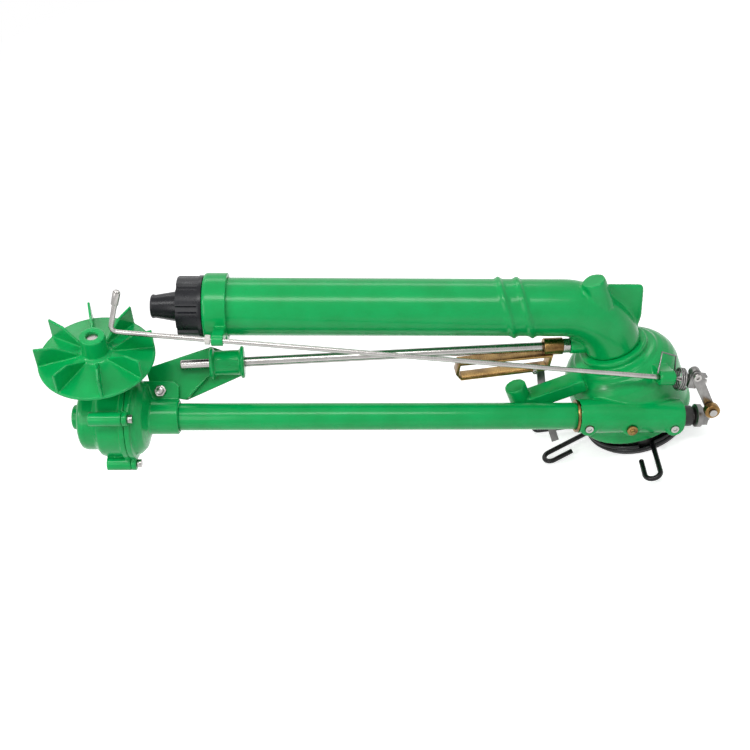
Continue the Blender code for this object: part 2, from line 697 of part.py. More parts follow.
def make_nozzle():
    """The lobed nut, the tapered nozzle that it clamps, and the vanes in the barrel."""
    start = BARREL_END + GAP
    pitch = 2 * pi / NUT_LOBES
    outline = []
    for k in range(NUT_LOBES):
        for radius, share in ((NUT_GROOVE, -0.4), (NUT_RADIUS, -0.34), (NUT_RADIUS, -0.11), (NUT_RADIUS, 0.11),
                              (NUT_RADIUS, 0.34), (NUT_GROOVE, 0.4)):
            angle = (k + share) * pitch
            outline.append((radius * cos(angle), radius * sin(angle)))
    nut = plate("nozzle_nut", outline, start + 4, start + NUT_LENGTH, BARREL, "plastic", HEAD)
    join(nut, rod("nut_rim", NUT_RADIUS + 1, start, start + 4.5, BARREL, steps=FINE))
    seat = BARREL_END + SPIGOT_LENGTH + GAP
    cut(nut, rod("nut_thread_bore", SPIGOT_RADIUS + GAP, start - 2, seat + 5 + GAP, BARREL, steps=FINE))
    cut(nut, rod("nut_front_bore", 22, start, start + NUT_LENGTH + 2, BARREL, steps=FINE))
    flange_end = seat + 5
    outline = [
        (NOZZLE_MOUTH, NOZZLE_END),
        (NOZZLE_TIP - 1, NOZZLE_END),
        (NOZZLE_TIP + 0.6, NOZZLE_END - 1.5),
        (NOZZLE_TIP + 0.6, NOZZLE_END - 3.5),
        (NOZZLE_TIP, NOZZLE_END - 5),
        (19, start + NUT_LENGTH),
        (21.4, flange_end + 1),
        (21.4, flange_end),
        (SPIGOT_RADIUS, flange_end),
        (SPIGOT_RADIUS, seat),
        (BARREL_BORE - 2, seat),
        (18, flange_end + 1),
        (NOZZLE_MOUTH, NOZZLE_END - 14),
    ]
    turned("nozzle", outline, BARREL, "plastic", HEAD, closed=True)
    outer = BARREL_BORE - 0.8
    inner = outer - VANE_WALL
    vanes = ring("stream_vanes", inner, outer, VANE_START, VANE_END, BARREL, "plastic", HEAD)
    for k in range(3):
        place = BARREL @ Matrix.Rotation(k * pi / 3, 4, "Z")
        reach = outer - VANE_WALL / 2
        join(vanes, block(f"vane_{k}", (-reach, -0.7, VANE_START + 1), (reach, 0.7, VANE_END - 1), place))


def make_drive():
    """The long tube, the shaft in it with the worm at its rear, and the cam on the shaft's tail."""
    ring("drive_tube", TUBE_BORE, TUBE_RADIUS, TUBE_START, SLEEVE_START + 36, DRIVE, "green", HEAD)
    core = WORM_PITCH_RADIUS - 1.6
    half = 17.0
    outline = [
        (0, CASE_END + 2),
        (SHAFT_RADIUS, CASE_END + 2),
        (SHAFT_RADIUS, WORM_PLACE + half + 2),
        (core, WORM_PLACE + half),
        (core, WORM_PLACE - half),
        (SHAFT_RADIUS, WORM_PLACE - half - 2),
        (SHAFT_RADIUS, HOUSING_REAR - 36),
        (0, HOUSING_REAR - 36),
    ]
    shaft = turned("drive_shaft", outline, DRIVE, "steel", SPIN, PLAIN)
    join(shaft, worm_thread())
    cam_place = DRIVE @ Matrix.Translation((CAM_THROW * MM * cos(CAM_TURN), CAM_THROW * MM * sin(CAM_TURN), 0))
    low = HOUSING_REAR - 23
    outline = [(0, low + 8), (CAM_RADIUS - 4, low + 8), (CAM_RADIUS, low + 6), (CAM_RADIUS, low), (0, low)]
    cam = turned("cam", outline, cam_place, "steel", SPIN)
    join(cam, hexagon("cam_nut", 12.5, low - 9, low + 1, DRIVE))
    cut(cam, rod("cam_bore", SHAFT_RADIUS + GAP, low - 12, low + 10, DRIVE))


CAM_TURN = -radians(47)


def worm_thread():
    """Turns of a trapezoid thread about the worm's core, with solid ends inside the core."""
    core = WORM_PITCH_RADIUS - 2.2
    tip = WORM_PITCH_RADIUS + THREAD_HEIGHT
    foot = 1.6
    crest = 0.7
    turns = 4
    steps = 14
    build = bmesh.new()
    sections = []
    for i in range(turns * steps + 1):
        angle = 2 * pi * i / steps
        height = WORM_PLACE - WORM_LEAD * (i / steps - turns / 2 - 0.25)
        section = []
        for radius, offset in ((core, -foot), (tip, -crest), (tip, crest), (core, foot)):
            spot = (radius * cos(angle) * MM, radius * sin(angle) * MM, (height + offset) * MM)
            section.append(build.verts.new(spot))
        sections.append(section)
    for before, after in zip(sections, sections[1:]):
        for k in range(4):
            j = (k + 1) % 4
            build.faces.new((before[k], before[j], after[j], after[k]))
    build.faces.new(list(reversed(sections[0])))
    build.faces.new(sections[-1])
    bmesh.ops.recalc_face_normals(build, faces=build.faces)
    return add_object("worm_thread", mesh_from(build, "worm_thread"), DRIVE)


def gear_spot():
    """How far below the turbine its shaft passes the drive shaft, and how far apart the two axes are."""
    across = DRIVE_SIDE - TURBINE_SIDE
    down = DRIVE_RISE - TURBINE_RISE
    drop = -across * sin(TURBINE_LEAN) - down * cos(TURBINE_LEAN)
    apart = across * cos(TURBINE_LEAN) - down * sin(TURBINE_LEAN)
    return drop, apart


def slanted_layers(teeth, radius, middle, half, phase, rate, count):
    """A helical gear's outlines, each turned by the rate times its height from the middle."""
    layers = []
    for i in range(count + 1):
        offset = half * (2 * i / count - 1)
        outline = toothed(teeth, radius - TOOTH_ROOT, radius + TOOTH_TIP, phase + rate * offset, 0.2)
        layers.append((outline, middle + offset))
    return layers


def make_gearbox():
    """The case and cover with lugs and sleeve, and the crossed helical gears on the turbine and drive shafts."""
    low = JOINT_PLACE + GAP
    flange = low + FLANGE_THICK
    outline = [
        (0, CASE_END + 11),
        (13, CASE_END + 11),
        (15, CASE_END + 9.5),
        (15, CASE_END),
        (CASE_SMALL - 6, CASE_END),
        (CASE_SMALL - 1.5, CASE_END - 3),
        (CASE_SMALL, CASE_END - 8),
        (CASE_SMALL, CASE_END - 20),
        (CASE_RADIUS - 1, CASE_END - 26),
        (CASE_RADIUS, CASE_END - 29),
        (CASE_RADIUS, flange + 1),
        (FLANGE_RADIUS, flange),
        (FLANGE_RADIUS, low),
        (0, low),
    ]
    case = turned("gearbox_case", outline, DRIVE, "green", HEAD)
    for k, (turn, length) in enumerate(LUGS):
        join(case, rod(f"case_lug_{k}", LUG_RADIUS, low, low + length, lug_frame(turn)))
    drop, apart = gear_spot()
    neck_low = 26 - drop
    join(case, rod("case_neck", 17, neck_low, NECK_RISE, TURBINE))
    hollow = [
        (0, CASE_END - CASE_WALL),
        (CASE_SMALL - CASE_WALL, CASE_END - CASE_WALL),
        (CASE_SMALL - CASE_WALL, CASE_END - 21),
        (CASE_RADIUS - CASE_WALL, CASE_END - 29),
        (CASE_RADIUS - CASE_WALL, low - 5),
        (0, low - 5),
    ]
    cut(case, turned("case_hollow", hollow, DRIVE))
    cut(case, rod("case_front_seat", SHAFT_RADIUS + GAP, CASE_END - 8, CASE_END + 5, DRIVE))
    cut(case, rod("neck_bore", 11, neck_low - 30, NECK_RISE + 5, TURBINE))
    for k, (turn, length) in enumerate(LUGS):
        cut(case, rod(f"case_bolt_hole_{k}", 3 + GAP, low - 5, low + min(length - 3, 14), lug_frame(turn), steps=12))
    ring("turbine_bush", TURBINE_SHAFT + GAP, 11 - GAP, neck_low + 4.5, NECK_RISE, TURBINE, "brass", HEAD, PLAIN)
    make_gearbox_cover()
    pinion_radius = apart - GEAR_RADIUS
    rate = GEAR_TEETH / PINION_TEETH / GEAR_RADIUS
    phase = pi / 2 + pi / PINION_TEETH
    pinion = slanted_layers(PINION_TEETH, pinion_radius, -drop, PINION_HALF, phase, rate, 14)
    loft("helical_pinion", pinion, 0, TURBINE, "steel", TURN)
    rate = tan(pi / 2 - atan(pinion_radius / GEAR_RADIUS * GEAR_TEETH / PINION_TEETH)) / GEAR_RADIUS
    gear = slanted_layers(GEAR_TEETH, GEAR_RADIUS, TURBINE_PLACE, GEAR_HALF, pi / 2 - TURBINE_LEAN, rate, 4)
    loft("helical_gear", gear, SHAFT_RADIUS + GAP, DRIVE, "steel", SPIN)


LUGS = ((radians(33), 8.0), (radians(123), 29.0), (radians(213), 29.0), (radians(303), 38.0))
NECK_RISE = -9.0


def lug_frame(turn):
    """A placement on a lug's axis. The turn is about the drive axis, from the rise direction."""
    spot = Matrix.Rotation(turn, 4, "Z") @ Matrix.Translation((LUG_CIRCLE * MM, 0, 0))
    return DRIVE @ spot


def make_gearbox_cover():
    """The domed cover with the sleeve that holds the drive tube, and the ear for the bracket."""
    outline = [
        (0, JOINT_PLACE),
        (FLANGE_RADIUS, JOINT_PLACE),
        (FLANGE_RADIUS, JOINT_PLACE - FLANGE_THICK),
        (CASE_RADIUS - 1, JOINT_PLACE - FLANGE_THICK - 1),
        (CASE_RADIUS - 3, JOINT_PLACE - 12),
        (CASE_RADIUS - 9, JOINT_PLACE - 18),
        (SLEEVE_RADIUS + 4, JOINT_PLACE - 22),
        (SLEEVE_RADIUS, JOINT_PLACE - 24),
        (SLEEVE_RADIUS, SLEEVE_START + 1.5),
        (SLEEVE_RADIUS - 1.5, SLEEVE_START),
        (0, SLEEVE_START),
    ]
    cover = turned("gearbox_cover", outline, DRIVE, "green", HEAD)
    for k, (turn, _) in enumerate(LUGS):
        join(cover, rod(f"cover_lug_{k}", LUG_RADIUS, JOINT_PLACE - FLANGE_THICK, JOINT_PLACE, lug_frame(turn)))
    corner = 6
    left = SLEEVE_START + 2
    ear = [(left, -12), (566, -12), (566, EAR_TOP - 2), (564, EAR_TOP), (left + corner, EAR_TOP),
           (left, EAR_TOP - corner)]
    join(cover, plate("cover_ear", ear, EAR_LOW, EAR_HIGH, BRACKET))
    cut(cover, rod("sleeve_bore", TUBE_RADIUS + GAP, SLEEVE_START - 5, 556, DRIVE, steps=FINE))
    cut(cover, rod("cover_bush_seat", 9.3, 550, JOINT_PLACE + 5, DRIVE))
    cut(cover, rod("cover_hollow", CASE_RADIUS - 9, JOINT_PLACE - 9, JOINT_PLACE + 5, DRIVE, steps=FINE))
    cut(cover, rod("ear_hole", 4 + GAP, -5, 12, bolt_frame()))
    for k, (turn, _) in enumerate(LUGS):
        hole = rod(f"cover_bolt_hole_{k}", 3 + GAP, JOINT_PLACE - 15, JOINT_PLACE + 5, lug_frame(turn), steps=12)
        cut(cover, hole)
        make_cover_bolt(k, turn)
    ring("cover_bush", SHAFT_RADIUS + GAP, 9, 557, JOINT_PLACE - 8, DRIVE, "brass", HEAD, PLAIN)


SLEEVE_RADIUS = TUBE_RADIUS + 4.5
EAR_LOW = 0.0
EAR_HIGH = 6.5
EAR_TOP = 22.0
WEB_LOW = EAR_HIGH + GAP
WEB_HIGH = WEB_LOW + BRACKET_THICK


def make_cover_bolt(k, turn):
    place = lug_frame(turn)
    head = JOINT_PLACE - FLANGE_THICK - GAP
    depth = JOINT_PLACE + 5
    bolt = rod(f"cover_bolt_{k + 1}", 3, head - 1, depth, place, "steel", HEAD, 12)
    join(bolt, rod(f"cover_bolt_head_{k + 1}", 5, head - 5.5, head, place, steps=16))


def bracket_frame():
    """A placement in the bracket's plane: X along the barrel, Y from the sleeve to the rock shaft's bush."""
    sleeve = gun(0, DRIVE_SIDE, DRIVE_RISE)
    bush = gun(*rock_at(BUSH_PLACE))
    across = bush - sleeve
    across -= across.dot(ALONG) * ALONG
    across.normalize()
    start = sleeve + across * 22
    return frame(start, ALONG.cross(across), ALONG)


def rock_at(along):
    """The rock shaft's axis at a place along the barrel."""
    share = (along - ROCK_REAR[0]) / (ROCK_FRONT[0] - ROCK_REAR[0])
    return tuple(a + (b - a) * share for a, b in zip(ROCK_REAR, ROCK_FRONT))


BRACKET = bracket_frame()


def bolt_frame():
    return BRACKET @ Matrix.Translation((543 * MM, 9.5 * MM, 0))


def make_bracket():
    """The triangular arm from the ear to the bush, which carries the rock shaft's front end."""
    half = BUSH_LENGTH / 2
    bush = [
        (0, BUSH_PLACE + half),
        (BUSH_BEAD - 1.5, BUSH_PLACE + half),
        (BUSH_BEAD, BUSH_PLACE + half - 1.5),
        (BUSH_BEAD, BUSH_PLACE + half - 4),
        (BUSH_RADIUS, BUSH_PLACE + half - 6),
        (BUSH_RADIUS, BUSH_PLACE - half + 6),
        (BUSH_BEAD, BUSH_PLACE - half + 4),
        (BUSH_BEAD, BUSH_PLACE - half + 1.5),
        (BUSH_BEAD - 1.5, BUSH_PLACE - half),
        (0, BUSH_PLACE - half),
    ]
    bracket = turned("arm_bracket", bush, ROCK, "green", HEAD)
    span = (gun(*rock_at(BUSH_PLACE)) - BRACKET.translation / MM).length
    reach = sqrt(max(span * span - BUSH_PLACE * BUSH_PLACE, 1))
    rear = BUSH_PLACE - half
    front = BUSH_PLACE + half
    outline = [(551, 0.6), (523, 0.6), (SLEEVE_START - 7, -1), (rear + 3, reach - 15), (rear + 3, reach + 8),
               (front - 1, reach + 21), (563, 38), (558, 18), (551, 6)]
    web = plate("bracket_web", outline, WEB_LOW, WEB_HIGH, BRACKET)
    rib = [(SLEEVE_START - 6, 1), (front + 1, reach - 16), (front - 3, reach - 12), (SLEEVE_START - 10, 1)]
    join(bracket, web, plate("bracket_rib", rib, -2, WEB_LOW + 1, BRACKET))
    cut(bracket, rod("bush_bore", ROCK_RADIUS + GAP, BUSH_PLACE - 40, BUSH_PLACE + 40, ROCK))
    cut(bracket, rod("bracket_hole", 4 + GAP, -10, 20, bolt_frame()))
    place = bolt_frame()
    head = WEB_HIGH + GAP
    bolt = rod("bracket_bolt", 4, -10, head + 1, place, "steel", HEAD, 16)
    join(bolt, hexagon("bracket_bolt_head", 7.4, head, head + 5.3, place))
    nut = hexagon("bracket_nut", 7.4, -GAP - 6.5, -GAP, place, "steel", HEAD)
    cut(nut, rod("bracket_nut_bore", 4 + GAP, -12, 2, place, steps=16))


def make_turbine():
    """The bladed wheel on its shaft: a shallow cone, a tall hub and straight radial blades."""
    outline = [
        (TURBINE_SHAFT + GAP, HUB_HEIGHT),
        (HUB_RADIUS - 1, HUB_HEIGHT),
        (HUB_RADIUS, HUB_HEIGHT - 1),
        (HUB_RADIUS + 0.6, 10),
        (HUB_RADIUS + 4, 7),
        (HUB_RADIUS + 6, 6),
        (TURBINE_RADIUS - 1, 0.5),
        (TURBINE_RADIUS, -0.5),
        (TURBINE_RADIUS, -3),
        (TURBINE_RADIUS - 2, -3.5),
        (HUB_RADIUS + 4, 1.5),
        (HUB_RADIUS - 2, 0),
        (HUB_RADIUS - 2, -8),
        (TURBINE_SHAFT + GAP, -8),
    ]
    wheel = turned("turbine_wheel", outline, TURBINE, "green", TURN, closed=True)
    blade = [(HUB_RADIUS + 5, 4), (TURBINE_RADIUS, -1.5), (TURBINE_RADIUS - 0.5, BLADE_HEIGHT),
             (TURBINE_RADIUS - 22, BLADE_HEIGHT - 2), (HUB_RADIUS + 5, 8.5)]
    for k in range(BLADE_COUNT):
        place = TURBINE @ Matrix.Rotation(2 * pi * k / BLADE_COUNT + BLADE_TURN, 4, "Z")
        upright = place @ Matrix.Rotation(pi / 2, 4, "X")
        join(wheel, plate(f"blade_{k}", blade, -BLADE_THICK / 2, BLADE_THICK / 2, upright))
    screw_place = TURBINE @ Matrix.Rotation(radians(20), 4, "Z") @ Matrix.Rotation(pi / 2, 4, "Y")
    screw_place = screw_place @ Matrix.Translation((-18 * MM, 0, 0))
    cut(wheel, rod("hub_screw_hole", 2.5 + GAP, 2, 30, screw_place, steps=12))
    rod("hub_screw", 2.5, TURBINE_SHAFT + GAP, HUB_RADIUS - 0.5, screw_place, "steel", TURN, 12)
    top = PINION_HALF + GAP - gear_spot()[0]
    outline = [(0, HUB_HEIGHT - 4), (TURBINE_SHAFT, HUB_HEIGHT - 4), (TURBINE_SHAFT, top), (0, top)]
    turned("turbine_shaft", outline, TURBINE, "steel", TURN, PLAIN)


BLADE_TURN = radians(14)


def make_rock_shaft():
    """The steel shaft under the barrel, with the brass frame and trip arm fixed at its rear end."""
    rear = 23.0
    front = ROCK_FRONT[0]
    outline = [(0, front), (ROCK_RADIUS - 1, front), (ROCK_RADIUS, front - 1), (ROCK_RADIUS, rear), (0, rear)]
    turned("rock_shaft", outline, ROCK, "steel", ROCKER, PLAIN)
    nut = hexagon("rock_shaft_nut", 10.3, 35, 43.5, ROCK, "steel", ROCKER)
    cut(nut, rod("rock_nut_bore", ROCK_RADIUS + GAP, 31, 48, ROCK))
    sleeve_outline = [(ROCK_RADIUS + GAP, 68), (10, 68), (10.8, 67), (10.8, 44),
                      (ROCK_RADIUS + GAP, 44)]
    sleeve = turned("reversing_frame", sleeve_outline, ROCK, "brass", ROCKER, closed=True)
    place = ROCK @ Matrix(((0, 1, 0, 0), (0, 0, 1, 0), (1, 0, 0, 0), (0, 0, 0, 1)))
    strip = FRAME_STRIP
    outer = [(56, -8), (176, -14), (179, -30), (172, -39), (60, -30)]
    inner = [(60, -8 - strip), (173.5, -14 - strip), (175.5, -29.5), (170.5, -39 + strip), (60 + strip, -30 + strip)]
    half = FRAME_WIDTH / 2
    shell = plate("frame_outer", outer, -half, half, place)
    hollow = plate("frame_inner", inner, -half - 1, half + 1, place)
    join(sleeve, cut(shell, hollow))
    cut(sleeve, rod("frame_shaft_bore", ROCK_RADIUS + GAP, 30, 190, ROCK))
    make_trip_arm()


def make_trip_arm():
    """The bar that hangs from the frame past the dome to the level of the stop rings' hooks."""
    rear = gun(62, 0, ROCK_REAR[2] - 31.3)
    front = gun(72, 0, ROCK_REAR[2] - 32.1)
    knee = (-108, 84)
    foot = (-111, TRIP_REACH)
    half = TRIP_WIDTH / 2
    outline = [(front.x, front.z), (knee[0] - half, knee[1]), (foot[0] - half, foot[1]),
               (foot[0] + half, foot[1]), (knee[0] + half, knee[1]), (rear.x, rear.z)]
    place = frame(Vector((0, TRIP_PLACE, 0)), Vector((0, -1, 0)), Vector((1, 0, 0)))
    plate("trip_arm", outline, 0, TRIP_THICK, place, "steel", ROCKER)


def spring_points():
    """The torsion spring's path about the breaker rod: a leg over the dome lug, the curls, a leg to the clamp."""
    per_turn = 8
    start = BREAKER_REAR[0] - 11
    points = []
    count = int(SPRING_TURNS * per_turn)
    for i in range(count + 1):
        angle = SPRING_START + 2 * pi * i / per_turn
        height = start - SPRING_PITCH * i / per_turn
        points.append((SPRING_RADIUS * cos(angle), SPRING_RADIUS * sin(angle), height))
    first = points[0]
    lead = [(6.5, -2, start + 26), (26, 16, start + 21), (24, 13, start + 4), (first[0] + 5, first[1] + 0.5, start + 1)]
    return [Vector(p) for p in lead + points]


SPRING_START = radians(70)


def least_gap(points, radius, apart):
    """The smallest gap between stretches of one tube that lie more than so many points apart."""
    least = 1000.0
    for i in range(len(points)):
        for j in range(i + apart, len(points)):
            least = min(least, (points[i] - points[j]).length - 2 * radius)
    return least


def make_breaker():
    """The rod with its raised tip, the spring round it, and the roller arm clamped to its rear end."""
    rear = BREAKER_REAR[0] - 48
    front = BREAKER_FRONT[0]
    path = rounded([(0, 0, rear), (0, 0, front), (BREAKER_TIP, 0, front - TIP_LEAN)], 7, 5)
    swept("breaker_rod", path, BREAKER_RADIUS, BREAKER, "steel", SWING)
    outline = [(BREAKER_RADIUS + GAP, COLLAR_START + 23), (5.8, COLLAR_START + 23), (5.8, COLLAR_START + 17),
               (BREAKER_RADIUS + GAP, COLLAR_START + 17)]
    turned("rod_washer", outline, BREAKER, "white", SWING, PLAIN, closed=True)
    tip_place = BREAKER @ Matrix.Translation((0, 0, front * MM))
    tip_place = tip_place @ Matrix.Rotation(pi / 2 + atan(TIP_LEAN / BREAKER_TIP), 4, "Y")
    ring("breaker_tip", BREAKER_RADIUS + GAP, 4.4, BREAKER_TIP - 17, BREAKER_TIP - 1, tip_place, "steel", SWING,
         16)
    points = spring_points()
    print("torsion spring: least gap to itself", round(least_gap(points, SPRING_WIRE, 8), 3), "mm")
    swept("torsion_spring", points, SPRING_WIRE, BREAKER, "steel", HEAD, sides=1)
    clamp_low = BREAKER_REAR[0] - 32.1
    clamp = rod("arm_clamp", 7.5, clamp_low, clamp_low + 11, BREAKER, "iron", SWING)
    join(clamp, block("clamp_block", (-4, -13, clamp_low + 0.5), (ARM_RISE, -3, clamp_low + 10.5), BREAKER))
    join(clamp, rod("clamp_eye", 6.8, -9.5, 0, arm_frame(clamp_low + 5.5)))
    for k, rise in enumerate((-3.2, -8.4)):
        join(clamp, block(f"clamp_tab_{k}", (4, rise, -9.2), (15, rise + 2.2, -0.6), arm_frame(clamp_low + 5.5)))
    cut(clamp, rod("clamp_bore", BREAKER_RADIUS + GAP, clamp_low - 2, clamp_low + 13, BREAKER))
    cut(clamp, rod("clamp_screw_hole", 2.5 + GAP, -12, 3, arm_frame(clamp_low + 5.5), steps=12))
    arm_low = GAP
    pivot = (0, 0)
    far = (30.0, -27.5 - ARM_RISE)
    length = sqrt(far[0] ** 2 + far[1] ** 2)
    turn = frame_angle(far)
    slot = arc(pivot, 6.2, pi / 2 + turn, 3 * pi / 2 + turn, 6)
    slot += arc((length * cos(turn), length * sin(turn)), 5.5, -pi / 2 + turn, pi / 2 + turn, 6)
    arm_place = arm_frame(clamp_low + 5.5)
    arm = plate("roller_arm", slot, arm_low, arm_low + 3, arm_place, "steel", SWING)
    cut(arm, rod("arm_screw_hole", 2.5 + GAP, -3, 6, arm_place, steps=12))
    screw = rod("clamp_screw", 2.5, -8, 4, arm_place, "steel", SWING, 12)
    join(screw, rod("clamp_screw_head", 4.6, 3 + 2 * GAP, 7.5, arm_place, steps=16))
    cut(screw, hexagon("clamp_screw_socket", 2.2, 5, 9, arm_place))
    pin_place = arm_place @ Matrix.Translation((far[0] * MM, far[1] * MM, 0))
    cut(arm, rod("arm_pin_hole", 3 + GAP, -3, 6, pin_place, steps=12))
    top = 3 + 3 * GAP + ROLLER_WIDTH
    pin_outline = [(0, top + 2), (4.5, top + 2), (4.8, top + GAP), (3, top + GAP), (3, 0), (5, 0), (5, -1.8), (0, -1.8)]
    turned("roller_pin", pin_outline, pin_place, "steel", SWING, 16)
    roller_low = 3 + 2 * GAP
    roller_outline = [(3 + GAP, roller_low + ROLLER_WIDTH), (ROLLER_RADIUS - 1.5, roller_low + ROLLER_WIDTH),
                      (ROLLER_RADIUS, roller_low + ROLLER_WIDTH - 1.5), (ROLLER_RADIUS, roller_low + 1),
                      (ROLLER_RADIUS - 1, roller_low), (3 + GAP, roller_low)]
    carrier = add_empty("roller_axis", pin_place)
    turned("roller", roller_outline, pin_place, "brass", carrier, closed=True)


def frame_angle(far):
    angle = atan(far[1] / far[0])
    return angle


ARM_RISE = 15.0


def arm_frame(along):
    """A placement on the clamp's outer face: X towards the rear, Y along the rise, Z outwards."""
    place = BREAKER @ Matrix.Translation((ARM_RISE * MM, -13 * MM, along * MM))
    axes = Matrix(((0, 1, 0, 0), (0, 0, -1, 0), (-1, 0, 0, 0), (0, 0, 0, 1)))
    return place @ axes


def flatten(bodies):
    """Makes each part's modifiers part of its mesh, with smooth rounds and sharp edges."""
    bpy.context.view_layer.update()
    scene = bpy.context.evaluated_depsgraph_get()
    meshes = {}
    for body in bodies:
        mesh = bpy.data.meshes.new_from_object(body.evaluated_get(scene))
        build = bmesh.new()
        build.from_mesh(mesh)
        bmesh.ops.remove_doubles(build, verts=build.verts, dist=0.000002)
        build.to_mesh(mesh)
        build.free()
        mesh.shade_smooth()
        mesh.set_sharp_from_angle(angle=radians(35))
        meshes[body] = mesh
    for body, mesh in meshes.items():
        body.modifiers.clear()
        body.data = mesh
        mesh.name = body.name


def clear_scene():
    for body in list(bpy.data.objects):
        bpy.data.objects.remove(body, do_unlink=True)


clear_scene()
PARTS = make_collection("sprinkler_gun")
CUTTERS = make_collection("cutters")
CUTTERS.hide_render = True
HEAD = add_empty("head_axis", WORLD)
SPIN = add_empty("drive_shaft_axis", DRIVE)
TURN = add_empty("turbine_axis", TURBINE)
ROCKER = add_empty("rock_shaft_axis", ROCK)
SWING = add_empty("breaker_axis", BREAKER)

make_base()
make_stops()
make_dome()
make_dome_fittings()
make_barrel()
make_collar()
make_nozzle()
make_drive()
make_gearbox()
make_bracket()
make_turbine()
make_rock_shaft()
make_breaker()
flatten([body for body in PARTS.objects if body.type == "MESH"])
for cutter in list(CUTTERS.objects):
    bpy.data.objects.remove(cutter, do_unlink=True)
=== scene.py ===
"""The looks of the turbine-driven sprinkler gun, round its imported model.

Each shown piece is modelled again in fine steps, with cast fillets, rounded edges and its own surface, and
stands for the CAD node of its name. Sizes are millimetres, as in the part, and a place on the gun is given
as (along, side, rise): along the barrel, sideways to -Y, and square to both.
"""

import json
from math import atan, cos, pi, radians, sin, sqrt, tan

import bmesh
import bpy
from mathutils import Matrix, Vector


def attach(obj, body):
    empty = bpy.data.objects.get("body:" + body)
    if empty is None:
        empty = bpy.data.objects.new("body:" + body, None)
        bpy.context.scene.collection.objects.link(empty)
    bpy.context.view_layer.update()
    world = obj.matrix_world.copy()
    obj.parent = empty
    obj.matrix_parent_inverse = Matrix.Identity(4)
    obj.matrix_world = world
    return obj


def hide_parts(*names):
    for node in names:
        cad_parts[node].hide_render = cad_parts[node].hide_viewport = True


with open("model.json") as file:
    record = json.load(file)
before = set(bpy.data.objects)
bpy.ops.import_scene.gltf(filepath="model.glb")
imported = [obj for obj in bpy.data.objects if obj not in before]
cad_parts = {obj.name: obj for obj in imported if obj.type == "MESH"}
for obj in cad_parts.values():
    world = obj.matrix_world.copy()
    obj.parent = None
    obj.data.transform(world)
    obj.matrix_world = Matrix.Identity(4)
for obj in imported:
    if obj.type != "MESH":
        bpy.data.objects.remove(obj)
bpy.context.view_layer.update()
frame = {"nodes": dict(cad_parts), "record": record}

MM = 0.001
GAP = 0.3  # clearance left between pieces that touch
FINE = 96  # steps round a large turned piece
PLAIN = 48  # steps round a small turned piece

# Base
INLET_BORE = 31
INLET_LIP = 64
LIP_HEIGHT = 3.5
BASE_HEIGHT = 24
NECK_RADIUS = 38
NECK_TOP = 126
SHOULDER_RADIUS = 46
SHOULDER_TOP = 84
LEDGE_RADIUS = SHOULDER_RADIUS + 6
BOLT_CIRCLE = 48
BOLT_HOLE = 4.2
BOLT_DEPTH = 14
BOLT_COUNT = 6
WHEEL_WIDTH = 18

# Stop rings
RING_SEAT = 60
STOP_RING = 65
STOP_WIRE = 3.25
STOP_PITCH = 6.2  # between the two wires' centres
STOP_BEND = 4  # where a leg meets its ring
STOP_HOOK = 9.5
STOP_RETURN = 27
NEAR_HOOK = (radians(177), radians(193), 62, 1)  # root's angle, leg's direction, leg's length, curl
FAR_HOOK = (radians(163), radians(161), 70, -1)
SIDE_HOOK = (radians(274), radians(264), 57, -1)
PLAIN_END = radians(259)

# Dome
DOME_RADIUS = 73
DOME_WALL = 6.5
DOME_TOP = 133
DOME_ROOF = 96.5
SKIRT_BOTTOM = 28
LIP_BEAD = 43
NECK_SEAT = 113
DOME_LUG = (-71, (42, -64), 19, 9)  # place along, root's side and rise, length, radius
DETENT_ARM = ((-130, -50, 113), (-50, -24, 130))  # lowest and highest corner
DETENT_SPOT = (-132, -39)
DETENT_RADIUS = 13.5
DETENT_TOP = 150

# Bosses on the dome and what screws into them
BOSS_PLACES = (17, -36, -90)
BOSS_RISE = -120.5
BOSS_FACE = 91.5
BOSS_DEPTH = 2.2
BOSS_RADIUS = 10.5
BOSS_ROOT = 28
SCREW_RADIUS = 5
SCREW_SOCKET = 2.9

# Barrel
BARREL_PITCH = radians(24)
AXIS_CROSSING = 190
BARREL_RADIUS = 35.5
BARREL_BORE = 30
BARREL_END = 489
ELBOW_BEND = 75
BEAD_TILT = radians(19)
BEAD_WIRE = 3.2
BEAD_PLACES = (119, 96)
SPIGOT_RADIUS = 31.5
SPIGOT_LENGTH = 10
COLLAR_RADIUS = 41
COLLAR_START = 460
COLLAR_END = BARREL_END - 0.4
COLLAR_LUG = (COLLAR_START + 7, (38.5, -12), 13.8, 6.5)
FIN_THICK = 6
STUB_SPOT = (1, -12)
STUB_RADIUS = 15.5
STUB_FOOT = 200
STUB_TOP = 238

# Nozzle
NUT_RADIUS = 37
NUT_GROOVE = 34.3
NUT_START = BARREL_END + GAP
NUT_LENGTH = 30
NUT_LOBES = 8
NUT_MOUTH = 22
NOZZLE_MOUTH = 11
NOZZLE_TIP = 14
NOZZLE_SEAT = BARREL_END + SPIGOT_LENGTH + GAP
NOZZLE_FLANGE = 5
NOZZLE_END = 553

# Worm drive
DRIVE_SIDE = 70
DRIVE_RISE = -115
TUBE_RADIUS = 16.7
TUBE_BORE = 13.5
TUBE_START = 12
TUBE_END = 555
TUBE_SEAT = 19
SHAFT_RADIUS = 6
HOUSING_RADIUS = 21
HOUSING_FRONT = 28.5
HOUSING_REAR = -102
WORM_BORE = 14.5
REAR_SEAT = 10
CAM_RADIUS = 14.5
CAM_THROW = 3.5
CAM_TURN = -radians(47)
CAM_PLACE = HOUSING_REAR - 23
CAM_THICK = 8
CAM_NUT = 12.5

